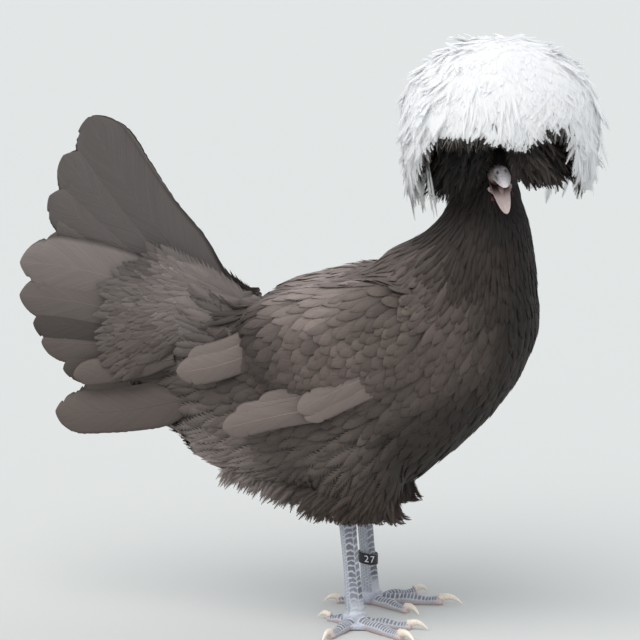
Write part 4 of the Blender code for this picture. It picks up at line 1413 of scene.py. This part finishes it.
# plumes on the head's right side are painted much darker than those on its left, as painted shade
tone = np.where(right_side[:, None], linear((30, 25, 22)), linear((66, 58, 54)))
tone = tone * (1 + draw.normal(0, 0.40, (DARK, 1)))
tone = np.where(draw.random((DARK, 1)) < 0.03, linear((96, 88, 83)), tone)
coat_piece(
    "face_plumes", path, normal, 0.010 * (1 + draw.normal(0, 0.18, DARK)), 16, PLUME,
    np.clip(draw.normal(0.7, 0.08, DARK), 0.3, 0.9), 92, tone, nearest_flat(path[:, 0]),
    body_finish, "face", lead=2.2, stray=0.6, roll=0.4,
)
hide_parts("face_feathers")

# %% [markdown]
# Short dark feathers clothe the face itself. They start round the base of the beak
# and lie away from it on every side, as small as any on the bird.

# %% Face
PITCH = math.radians(-8)
ROLL = math.radians(10)


def head_axes():
    """Forward, left and up of the turned head."""
    a, b, c = YAW - math.radians(3), -PITCH, ROLL
    turn_z = np.array([[math.cos(a), -math.sin(a), 0], [math.sin(a), math.cos(a), 0], [0, 0, 1]])
    turn_y = np.array([[math.cos(b), 0, math.sin(b)], [0, 1, 0], [-math.sin(b), 0, math.cos(b)]])
    turn_x = np.array([[1, 0, 0], [0, math.cos(c), -math.sin(c)], [0, math.sin(c), math.cos(c)]])
    return (turn_z @ turn_y @ turn_x).T


FORWARD, LEFT, UP = head_axes()


def on_head(forward, left, up):
    return SKULL + FORWARD * forward + LEFT * left + UP * up


BEAK_BASE = on_head(0.0225, -0.0022, -0.0045)


def on_face(points):
    away = np.linalg.norm(points - on_head(0.008, 0, 0), axis=1)
    return (away < 0.032) & (points[:, 2] > 0.316) & (points[:, 2] < 0.372)


roots, root_faces = scatter_roots(14000, even_spacing(0.0018), on_face, 95)
draw = chance(96)
many = len(roots)
ahead = roots - (BEAK_BASE + FORWARD * 0.004)
reach = np.linalg.norm(ahead, axis=1)
ahead = unit(ahead) + draw.normal(0, 0.15, ahead.shape) + FORWARD * 0.35
length = 0.006 + 0.35 * np.clip(reach - 0.004, 0, 0.02) + draw.normal(0, 0.0008, many)
rise = 0.30 - 0.22 * smooth_step(0.008, 0.016, reach)
path, normal = follow_skin(roots, unit(ahead), length, rise, 0.8 + 0 * length, 4)
tone = linear((36, 30, 27)) * (1 + draw.normal(0, 0.2, (many, 1)))
coat_piece(
    "face_coat", path, normal, length * 0.28, 8, ROUND_TIP, np.full(many, 0.4), 97, tone,
    skin_flat[root_faces], body_finish, "face", lead=1.5, stray=0.4,
)

# %% [markdown]
# The upper beak is a loft of rounded sections that narrow and hook down. This breed
# has raised, cavernous nostrils, so two low domes stand on it, each with a slit painted
# near black as painted shade inside the nostril, and a dark bluish patch is painted on
# its right side. The horn is painted near white, partly its own pale colour and partly
# painted light against the shade the crest casts over the head.

# %% Upper beak
GAPE = math.radians(49)
ROWS = 44
AROUND = 48
u, v = rows_by_circle(np.linspace(-0.22, 1, ROWS), AROUND)
taper = np.sqrt(np.clip(1 - np.clip(u, 0, 1) ** 2.6, 0.0004, 1))
flare = 1 - smooth_step(-0.05, 0.50, u)
half = 0.0072 * taper * (1 - 0.20 * np.clip(u, 0, 1))
half = half * np.where(np.sin(v) > 0, 1 - 0.22 * flare * np.sin(v), 1 - 0.28 * flare * np.sin(v))
rise = np.where(np.sin(v) > 0, 0.0070, 0.0026 + 0.0062 * flare) * taper
swell = 0 * u
slit = 0 * u
for where in (math.radians(58), math.radians(122)):
    away = ((u - 0.40) / 0.20) ** 2 + ((v - where) / 0.36) ** 2
    swell += 0.0011 * np.exp(-away * 1.3)
    hole = ((u - 0.52) / 0.075) ** 2 + ((v - where) / 0.17) ** 2
    slit += np.exp(-(hole**1.5))
crease = np.exp(-(((v - math.pi / 2) / 0.16) ** 2)) * np.clip(u + 0.1, 0, 0.6)
reach = 1 + (swell - 0.0012 * slit - 0.0003 * crease) / 0.007
reach = reach + 0.05 * np.exp(-((np.sin(v) + 0.12) ** 2) / 0.02)
beak = (
    BEAK_BASE
    + UP * 0.0010
    + FORWARD * (0.0205 * u)[..., None]
    + LEFT * (0.0014 * smooth_step(-0.1, 0.5, u))[..., None]
    - UP * (0.0058 * np.clip(u, 0, 1) ** 2)[..., None]
    + LEFT * (half * reach * np.cos(v))[..., None]
    + UP * (rise * reach * np.sin(v))[..., None]
)
points, triangles = loft(beak)
# the horn is painted near white towards the front: its own pale colour, raised as painted light against the
# shade the crest casts over the head
pale = linear((194, 174, 168))
tone = blend(pale, linear((244, 238, 240)), smooth_step(0.05, 0.55, u)[..., None])
mottle = np.sin(v * 7 + u * 23) * np.sin(u * 31 - v * 5)
# each nostril slit is painted near black, painted shade inside the nostril
tone = tone * (1 + 0.10 * mottle - 0.93 * np.clip(slit, 0, 1))[..., None]
# a dark bluish patch is painted on the beak's right side
blue = np.exp(-((u - 0.62) ** 2 / 0.02 + (v - 2.65) ** 2 / 0.05)) * 0.8
tone = tone * (1 - blue)[..., None] + linear((78, 84, 96)) * blue[..., None]
under = np.clip(-np.sin(v) * 1.6 - 0.3, 0, 1)[..., None]
tone = tone * (1 - under) + linear((90, 56, 52)) * under
upper = mesh_object("beak_upper_horn", points, triangles, np.clip(with_caps(tone), 0.003, 1))
upper.data.materials.append(horn_finish)
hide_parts("beak_upper")
print("upper beak", len(triangles), "triangles")

# %% [markdown]
# The lower beak hangs wide open, and shows its inside: a shallow gutter with pale
# rims, painted dark towards the throat as painted shade in the mouth. The tongue lies
# in it, narrow and pointed, its root painted dark for the same shade. A fold of pale
# bare skin joins the two halves at each corner of the mouth.

# %% Lower beak and tongue
JAW_ALONG = FORWARD * math.cos(GAPE) - UP * math.sin(GAPE)
JAW_UP = FORWARD * math.sin(GAPE) + UP * math.cos(GAPE)


def jaw_loft(start, length, half_width, thickness, hollow, lift, rows, around):
    """A mandible or tongue in the dropped jaw's own directions, hollowed on top."""
    u, v = rows_by_circle(np.linspace(0, 1, rows), around)
    taper = np.sqrt(np.clip(1 - u**2.2, 0.0004, 1)) * (1 - 0.18 * u)
    x = np.cos(v) * half_width * taper
    deep = np.sin(v) * thickness * taper
    bowl = -hollow * taper * np.clip(1 - np.cos(v) ** 2 * 1.25, 0, 1)
    z = np.where(np.sin(v) > 0, bowl, deep) + lift * u**2
    rings = start + JAW_ALONG * (length * u)[..., None] + LEFT * x[..., None] + JAW_UP * z[..., None]
    return loft(rings), u, v


def horn_piece(name, points, triangles, tone, slot, *nodes):
    """A mesh in the horn finish; the solids it stands for, where given, are hidden."""
    made = mesh_object(name, points, triangles, np.clip(tone, 0.002, 1))
    made.data.materials.append(horn_finish)
    if nodes:
        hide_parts(*nodes)
    print(name, len(triangles), "triangles")


hinge = on_head(0.0215, -0.0022, -0.0080)
(points, triangles), u, v = jaw_loft(hinge - JAW_UP * 0.0016, 0.0285, 0.0070, 0.0036, 0.0016, 0.0012, 30, 36)
inside = np.clip(np.sin(v) * 2.2, 0, 1)[..., None]
# the gutter is painted dark towards the throat, painted shade in the mouth
gutter = blend(linear((44, 26, 24)), linear((232, 212, 208)), smooth_step(0.16, 0.55, u)[..., None])
# the outside of the lower beak is painted near white too, partly painted light against the crest's shade
tone = linear((240, 228, 224)) * (1 - inside) + gutter * inside
horn_piece("beak_lower_horn", points, triangles, with_caps(tone), "beak", "beak_lower")
tongue_root = hinge + JAW_UP * 0.0004
(points, triangles), u, v = jaw_loft(tongue_root, 0.0140, 0.0026, 0.0011, -0.0007, 0.0010, 20, 20)
# the tongue's root is painted dark, painted shade deep in the mouth
tone = blend(linear((60, 34, 32)), linear((196, 164, 160)), smooth_step(0.35, 0.8, u)[..., None])
horn_piece("tongue_flesh", points, triangles, with_caps(tone), "mouth", "tongue")
folds = []
for sign in (1, -1):
    t = np.linspace(0, 1, 14)[:, None]
    first = BEAK_BASE + FORWARD * 0.0030 + LEFT * (sign * 0.0073 - 0.0007) - UP * 0.0072
    last = hinge + JAW_ALONG * 0.0115 + LEFT * sign * 0.0058
    line = blend(first, last, t)
    line = line + (LEFT * sign * 0.0012 - FORWARD * 0.0040) * np.sin(math.pi * t)
    radius = 0.0013 * (1 + 0.25 * np.sin(t[:, 0] * 22)) * np.sin(math.pi * (0.12 + 0.76 * t[:, 0]))
    rings = ringed(line, radius, LEFT, FORWARD, 1.0, 1.7, 14)
    folds.append(loft(rings if sign < 0 else rings[:, ::-1]))
points, triangles = gathered(folds)
horn_piece("mouth_corners", points, triangles, linear((206, 180, 178)), "mouth")

# %% [markdown]
# Each eye is a ball whose colours run in rings from its pole: the black pupil, then
# the dark red-brown iris, then the dull brown that the lids hide. A pair of lids, one
# soft ring of bare skin, sits round it.

# %% Eyes
EYE_RADIUS = 0.0045
LID_TURNS = 36
LID_AROUND = 12
eye_finish = toned_material("eye_gloss", (0.02, 0.01, 0.01), 0.06)
lids = []
for word, sign in (("left", 1), ("right", -1)):
    middle = on_head(0.012, sign * 0.0148, 0.003)
    pole = unit(LEFT * sign + FORWARD * 0.35)
    aside = unit(np.cross(pole, UP))
    over = np.cross(aside, pole)
    polar, around = rows_by_circle(np.linspace(0.02, math.pi - 0.02, 26), 32)
    flatten = 1 - 0.10 * np.cos(polar) ** 2
    ball = middle + EYE_RADIUS * (
        pole * (np.cos(polar) * flatten)[..., None]
        + aside * (np.sin(polar) * np.cos(around))[..., None]
        + over * (np.sin(polar) * np.sin(around))[..., None]
    )
    points, triangles = loft(ball)
    degrees = np.degrees(polar)
    iris = linear((104, 48, 24)) * (0.8 + 0.25 * np.sin(around * 23))[..., None]
    tone = np.where((degrees < 25)[..., None], 0.004, iris)
    tone = np.where((degrees > 55)[..., None], linear((70, 48, 42)), tone)
    eye = mesh_object("eyeball_" + word, points, triangles, with_caps(tone))
    eye.data.materials.append(eye_finish)
    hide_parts("eye_" + word)
    ring, tube = rows_by_circle(circle(LID_TURNS), LID_AROUND)
    open_angle = np.radians(52 - 14 * np.abs(np.sin(ring)) ** 2)
    fold = 0.0008 + 0.0001 * np.sin(ring * 9)
    across = aside * np.cos(ring)[..., None] + over * np.sin(ring)[..., None]
    base = pole * np.cos(open_angle)[..., None] + across * np.sin(open_angle)[..., None]
    swell = unit(across) * np.cos(tube)[..., None] * 1.9 + pole * np.sin(tube)[..., None]
    lid = middle + base * (EYE_RADIUS + 0.0002) + swell * fold[..., None]
    lids.append((lid.reshape(-1, 3), wrapped_web(LID_TURNS, LID_AROUND)))
points, triangles = gathered(lids)
lid_piece = mesh_object("eyelids", points, triangles, linear((52, 42, 39)))
lid_piece.data.materials.append(horn_finish)
print("eyes", len(lids), "lids", len(triangles), "triangles")

# %% [markdown]
# Two small red lobes hang below the beak, one on each side, with a creased surface.

# %% Wattles
wattles = []
for sign in (1, -1):
    middle = on_head(0.0235 - 0.0060 * (sign > 0), -0.0015 + sign * 0.0075, -0.0225)
    polar, around = rows_by_circle(np.linspace(0.05, math.pi - 0.05, 18), 24)
    crease = 1 + 0.10 * np.sin(around * 5 + polar * 4) + 0.06 * np.sin(polar * 11)
    lobe = (
        middle
        + UP * (0.0036 * np.cos(polar))[..., None]
        + FORWARD * (0.0022 * np.sin(polar) * np.cos(around) * crease)[..., None]
        + LEFT * (0.0017 * np.sin(polar) * np.sin(around) * crease)[..., None]
    )
    wattles.append(loft(lobe[:, ::-1]))
points, triangles = gathered(wattles)
wattle = mesh_object("wattle_lobes", points, triangles, linear((96, 36, 40)))
wattle.data.materials.append(horn_finish)
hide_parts("wattle_left", "wattle_right")
print("wattles", len(wattles), "triangles", len(triangles))

# %% [markdown]
# Legs and toes are melted together like the skin, at a much finer grain, with thin
# webs between the toes. Every point then finds the shank or toe it belongs to, and
# the place along and around it says which scale it is on.

# %% Leg lines
FOOT_Y = 0.036
TOES = (
    # name, heading of the right and the left foot, length, thickness, claw length
    ("middle", -42, 4, 0.052, 1.00, 0.0165),
    ("inner", -6, -40, 0.040, 0.90, 0.0145),
    ("outer", -106, 46, 0.041, 0.90, 0.0130),
    ("hind", 150, 190, 0.023, 0.80, 0.0115),
)
SHANK_TOP = np.array([0.0300, 0.098])
SHANK_LOW = np.array([0.0375, 0.012])
TOE_RADIUS = 0.0052
TOE_SINK = 0.0011
FORTH = np.array([1, 0, 0])
ASIDE = np.array([0, 1, 0])
ABOVE = np.array([0, 0, 1])


def toes_of(sign):
    """The toes of one foot: name, heading, length, thickness and claw length."""
    return [(name, left if sign > 0 else right, *sizes) for name, right, left, *sizes in TOES]


def shank_radius(share):
    return np.interp(share, (0, 1 / 3, 2 / 3, 1), (0.0070, 0.0054, 0.0052, 0.0062))


def toe_radius(share, thickness):
    knuckle = 1 + 0.10 * np.cos(4 * math.pi * share)
    return TOE_RADIUS * thickness * (1 - 0.34 * share) * knuckle


def toe_line(sign, heading, length, thickness, places):
    """Centres of a toe from the ankle out, their radii, and the ways along and across."""
    way = np.array([math.cos(math.radians(heading)), math.sin(math.radians(heading)), 0])
    ankle = np.array([SHANK_LOW[0], sign * FOOT_Y, 0])
    radius = toe_radius(places, thickness)
    spots = ankle + way * (0.003 + length * places)[:, None]
    spots[:, 2] = radius - TOE_SINK
    return spots, radius, way, np.array([-way[1], way[0], 0])


WEDGE = np.array([[0, 1, 2], [5, 4, 3], [0, 3, 4], [0, 4, 1], [1, 4, 5], [1, 5, 2], [2, 5, 3], [2, 3, 0]])


def leg_lumps(sign):
    """The closed solids that melt into one leg."""
    lumps = []
    share = np.linspace(0, 1, 12)
    line = blend(SHANK_TOP, SHANK_LOW, share[:, None])
    spots = np.stack([line[:, 0], np.full(12, sign * FOOT_Y), line[:, 1]], axis=1)
    flesh = ringed(spots, shank_radius(share), FORTH, ASIDE, 1.12, 0.94)
    lumps.append(loft(flesh[:, ::-1]))
    pad = np.array([SHANK_LOW[0], sign * FOOT_Y, 0.0058])
    height = np.linspace(-0.97, 0.97, 12)
    spots = pad + ABOVE * 0.0078 * height[:, None]
    lumps.append(loft(ringed(spots, np.sqrt(1 - height**2), FORTH * 0.0095, ASIDE * 0.009)))
    ways = []
    for _, heading, length, thickness, _ in toes_of(sign):
        spots, radius, way, side = toe_line(sign, heading, length, thickness, np.linspace(0, 1.0, 18))
        radius[-1] *= 0.75
        lumps.append(loft(ringed(spots, radius, side, ABOVE)[:, ::-1]))
        ways.append(way)
    for other in (1, 2):
        corners = []
        for level in (0.0006, 0.0042):
            for way, length in ((ways[0], 0.020), (ways[other], 0.017)):
                corners.append(np.array([pad[0], pad[1], level]) + way * length)
            corners.append(np.array([pad[0], pad[1], level * 1.3]))
        lumps.append((np.array(corners), WEDGE))
    return lumps


print("toes per foot", len(TOES))

# %% [markdown]
# The scales: the shank has two rows of broad plates in front, dark with pale rims,
# that lap downwards, and small scales behind. The rims of plates and toe bands are
# partly their own paler edge and partly painted highlight. The toes have narrow bands
# on top, pale net-like skin at the sides, and warm soft pads below. Each function answers
# for every point how far off that shank or toe is, how high its scale stands and its colour.

# %% Scales of shank and toes
DARK_SCALE = linear((112, 114, 124))
# pale skin between scales and at the shank's foot; on the rims of plates and bands it is partly painted
# highlight
PALE_SKIN_AND_HIGHLIGHT = linear((190, 193, 200))
PLAIN_SKIN = linear((158, 163, 174))
WARM_PAD = linear((196, 178, 176))
BAND_TURN = 82


def lap(phase):
    """Height of plates that rise slowly and drop at their free edge."""
    f = phase - np.floor(phase)
    return np.where(f < 0.84, (f / 0.84) ** 0.7, (1 - f) / 0.16)


def rim_of(phase):
    f = phase - np.floor(phase)
    return smooth_step(0.60, 0.80, f) * (1 - smooth_step(0.94, 1.0, f))


def net_height(run, turn, size, spread):
    """Height of small scales in a net, each one as long as size and spread degrees wide."""
    net = run / size + 0.5 * np.floor(turn / spread)
    cell = np.abs((turn / spread) % 1 - 0.5) * 2
    return (1 - np.abs(2 * (net % 1) - 1) ** 3) * (1 - cell**3)


def shank_scales(flesh, sign):
    heading = math.radians(toes_of(sign)[0][1])
    axis = np.array([SHANK_LOW[0] - SHANK_TOP[0], 0, SHANK_LOW[1] - SHANK_TOP[1]])
    top = np.array([SHANK_TOP[0], sign * FOOT_Y, SHANK_TOP[1]])
    share = np.clip((flesh - top) @ axis / (axis @ axis), 0, 1)
    off = flesh - (top + share[:, None] * axis)
    gap = np.linalg.norm(off, axis=1) - shank_radius(share)
    turn = (np.arctan2(off[:, 1], off[:, 0]) - heading) * -sign
    turn = np.degrees(np.arctan2(np.sin(turn), np.cos(turn)))
    s = share * np.linalg.norm(axis)
    outer = np.abs(turn - 36) < 40
    front = outer | (np.abs(turn + 38) < 34)
    bow = np.where(outer, ((turn - 36) / 40) ** 2, ((turn + 38) / 34) ** 2)
    phase = s / np.where(outer, 0.0046, 0.0042) + np.where(outer, 0.0, 0.5) - 0.32 * bow
    phase = phase + 0.30 * np.sin(s * 210 + sign) * np.sin(s * 127 + 0.02 * turn)
    phase = phase + 0.06 * np.sin(turn * 0.13 + s * 900)
    net = net_height(s, turn % 360, 0.0026, 24)
    height = np.where(front, lap(phase) * (1 - bow**3) * 0.00042, net * 0.00026)
    rim = np.clip(rim_of(phase) + 0.7 * smooth_step(0.65, 1.0, bow), 0, 1)
    shade = (1 + 0.30 * np.sin(np.floor(phase) * 12.9898 + outer * 4.1))[:, None]
    plates = blend(DARK_SCALE * shade, PALE_SKIN_AND_HIGHLIGHT, rim[:, None])
    plates = blend(plates, PALE_SKIN_AND_HIGHLIGHT * 0.95, smooth_step(0.86, 0.97, share)[:, None])
    small = blend(PLAIN_SKIN * 0.92, PALE_SKIN_AND_HIGHLIGHT, (1 - smooth_step(0.15, 0.6, net))[:, None])
    return gap, height, np.where(front[:, None], plates, small)


def toe_scales(flesh, sign, heading, length, thickness):
    ankle, _, way, side = toe_line(sign, heading, length, thickness, np.zeros(1))
    run = (flesh - ankle) @ way
    part = np.clip(run / length, 0, 1)
    radius = toe_radius(part, thickness)
    lateral = (flesh - ankle) @ side
    lift = flesh[:, 2] - (radius - TOE_SINK)
    past = np.clip(run - length, 0, 1) + np.clip(-run, 0, 1)
    gap = np.hypot(np.hypot(lateral, lift), past) - radius
    roll = np.degrees(np.arctan2(lateral, lift))
    phase = run / (0.0036 - 0.0008 * part) + 0.20 * (roll / 70) ** 2 + 0.15 * np.sin(run * 330 + heading)
    band = (np.abs(roll) < BAND_TURN) & (run > 0.006)
    plate = lap(phase) * (1 - np.clip(np.abs(roll) / BAND_TURN, 0, 1) ** 4)
    net = net_height(run, roll, 0.0022, 22)
    height = np.where(band, plate * 0.00038, net * 0.00022)
    rim = np.clip(rim_of(phase) + smooth_step(58, 80, np.abs(roll)), 0, 1)
    sides = blend(PLAIN_SKIN * 1.08, WARM_PAD, smooth_step(70, 120, np.abs(roll))[:, None])
    sides = sides * (0.86 + 0.16 * net)[:, None]
    tone = np.where(band[:, None], blend(DARK_SCALE, PALE_SKIN_AND_HIGHLIGHT, rim[:, None]), sides)
    end = smooth_step(0.86, 1.0, part)[:, None]
    return gap, height, tone + (WARM_PAD * 1.12 - tone) * end * 0.8


print("scale tones", 4)

# %% [markdown]
# Each leg is melted from its lumps. Of the shank and the toes, the nearest one says
# how high the scale stands at a point and which colour it has. The webs lie far from
# all of them, so they stay plain and smooth.


# %% Legs
def scaled_leg(name, sign, nodes):
    voxel = 0.00062
    corners, web = gathered(leg_lumps(sign))
    mesh = melted_arrays(corners.tolist(), web.tolist(), voxel, 5, 0.0)
    flesh = read_back(mesh.vertices, "co").astype(float)
    out = read_back(mesh.vertices, "normal").astype(float)
    answers = [shank_scales(flesh, sign)]
    answers += [toe_scales(flesh, sign, *toe[1:4]) for toe in toes_of(sign)]
    gap, height, tone = (np.stack(rows) for rows in zip(*answers))
    nearest = (gap.argmin(axis=0), np.arange(len(flesh)))
    stretched = smooth_step(0.0006, 0.0026, gap[nearest])
    height = height[nearest] * (1 - stretched)
    tone = blend(tone[nearest], PLAIN_SKIN * 1.35, stretched[:, None])
    flesh = flesh + out * (height - 0.0001)[:, None]
    flesh[:, 2] = np.maximum(flesh[:, 2], 0)
    put_points(mesh, flesh)
    put_tones(mesh, np.clip(tone, 0, 1))
    leg = shown(name, mesh)
    leg.data.materials.append(scale_finish)
    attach(leg, "root")
    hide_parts(*nodes)
    print(name, len(flesh), "points")


for word, sign in (("left", 1), ("right", -1)):
    toes = [f"{toe[0]}_toe_{word}" for toe in TOES]
    scaled_leg("leg_" + word, sign, ["shank_" + word, *toes])

# %% [markdown]
# A claw is a curved horn that tapers from the toe's end to a blunt point just off
# the floor. It is a little deeper than wide, and paler towards its tip.

# %% Claws
CREAM = linear((236, 224, 208))
claws = []
for sign in (1, -1):
    for _, heading, length, thickness, claw in toes_of(sign):
        root, _, way, side = toe_line(sign, heading, length, thickness, np.zeros(1))
        size = TOE_RADIUS * thickness * 0.56
        share = np.linspace(-0.12, 1, 18)
        start = root[0] * (1, 1, 0) + way * (length - 0.0015) + (0, 0, size * 1.75)
        fall = start[2] - 0.0008
        inward = np.clip(share, 0, 1)
        spots = start + way * (claw * share)[:, None]
        spots[:, 2] += 0.0018 * np.sin(math.pi * inward) - fall * inward**2.2
        radius = size * np.clip(1 - inward, 0.004, 1) ** 0.62
        spots[:, 2] = np.maximum(spots[:, 2], radius * 1.15 + 0.0003)
        rings = ringed(spots, radius, side, ABOVE, 0.80, 1.12, 14)
        shade = np.concatenate([np.repeat(0.86 + 0.16 * inward, 14), [0.86, 1.0]])
        claws.append((*loft(rings[:, ::-1]), CREAM * shade[:, None]))
points, triangles, tone = gathered(claws)
claw_piece = mesh_object("claws", points, triangles, tone)
claw_piece.data.materials.append(horn_finish)
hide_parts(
    *[f"{toe[0]}_toe_claw_{word}" for toe in TOES for word in ("left", "right")]
)
print("claws", len(claws), "triangles", len(triangles))

# %% [markdown]
# A plastic ring hangs loose on the far shank. It is a short tube with rounded edges,
# and it carries two plain numerals, bent round it so that they lie on its wall.

# %% Leg ring
RING_Z = 0.0355
RING_TALL = 0.0075
RING_TILT = 0.14
RING_TURNS = 72
RING_EDGE = 0.0002
ring_share = (SHANK_TOP[1] - RING_Z) / (SHANK_TOP[1] - SHANK_LOW[1])
ring_middle = np.array([blend(SHANK_TOP[0], SHANK_LOW[0], ring_share), FOOT_Y, RING_Z])
inside = float(shank_radius(ring_share)) * 1.12 + 0.0008
outside = inside + 0.0009
turn = circle(RING_TURNS)
half = RING_TALL / 2
end = half + RING_EDGE
profile = [(inside, -half), (inside + RING_EDGE, -end), (outside - RING_EDGE, -end), (outside, -half)]
profile += [(reach, -level) for reach, level in profile[::-1]]
wall = []
for reach, level in profile:
    spots = np.stack([np.cos(turn) * reach, np.sin(turn) * reach, 0 * turn + level], axis=1)
    wall.append(spots + ring_middle)
points = np.stack(wall, axis=1).reshape(-1, 3)
points[:, 2] -= RING_TILT * (points[:, 0] - ring_middle[0])
ring_piece = mesh_object("leg_ring", points, wrapped_web(RING_TURNS, len(profile)))
ring_piece.data.set_sharp_from_angle(angle=math.radians(35))
ring_piece.data.materials.append(plain_material("black_plastic", (0.006, 0.007, 0.010), 0.35))
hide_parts("leg_band")
text = bpy.data.curves.new("numerals", "FONT")
text.body = "27"
text.size = 0.0072
text.align_x = "CENTER"
text.align_y = "CENTER"
text.extrude = 0.00012
text.space_character = 1.25
flat_text = shown("flat_numerals", text)
graph = bpy.context.evaluated_depsgraph_get()
lettering = bpy.data.meshes.new_from_object(flat_text.evaluated_get(graph))
bpy.data.objects.remove(flat_text)
facing_turn = math.radians(-72)
for vertex in lettering.vertices:
    x, y, z = vertex.co
    angle = facing_turn + x / outside
    reach = outside + z + 0.00006
    spot = np.array([math.cos(angle) * reach, math.sin(angle) * reach, y])
    spot[2] -= RING_TILT * spot[0]
    vertex.co = Vector(ring_middle + HOME + spot)
numerals = shown("ring_numerals", lettering)
lettering.materials.append(plain_material("white_print", (0.80, 0.80, 0.80), 0.5))
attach(numerals, "root")
print("ring", round(outside * 2000, 1), "mm across")
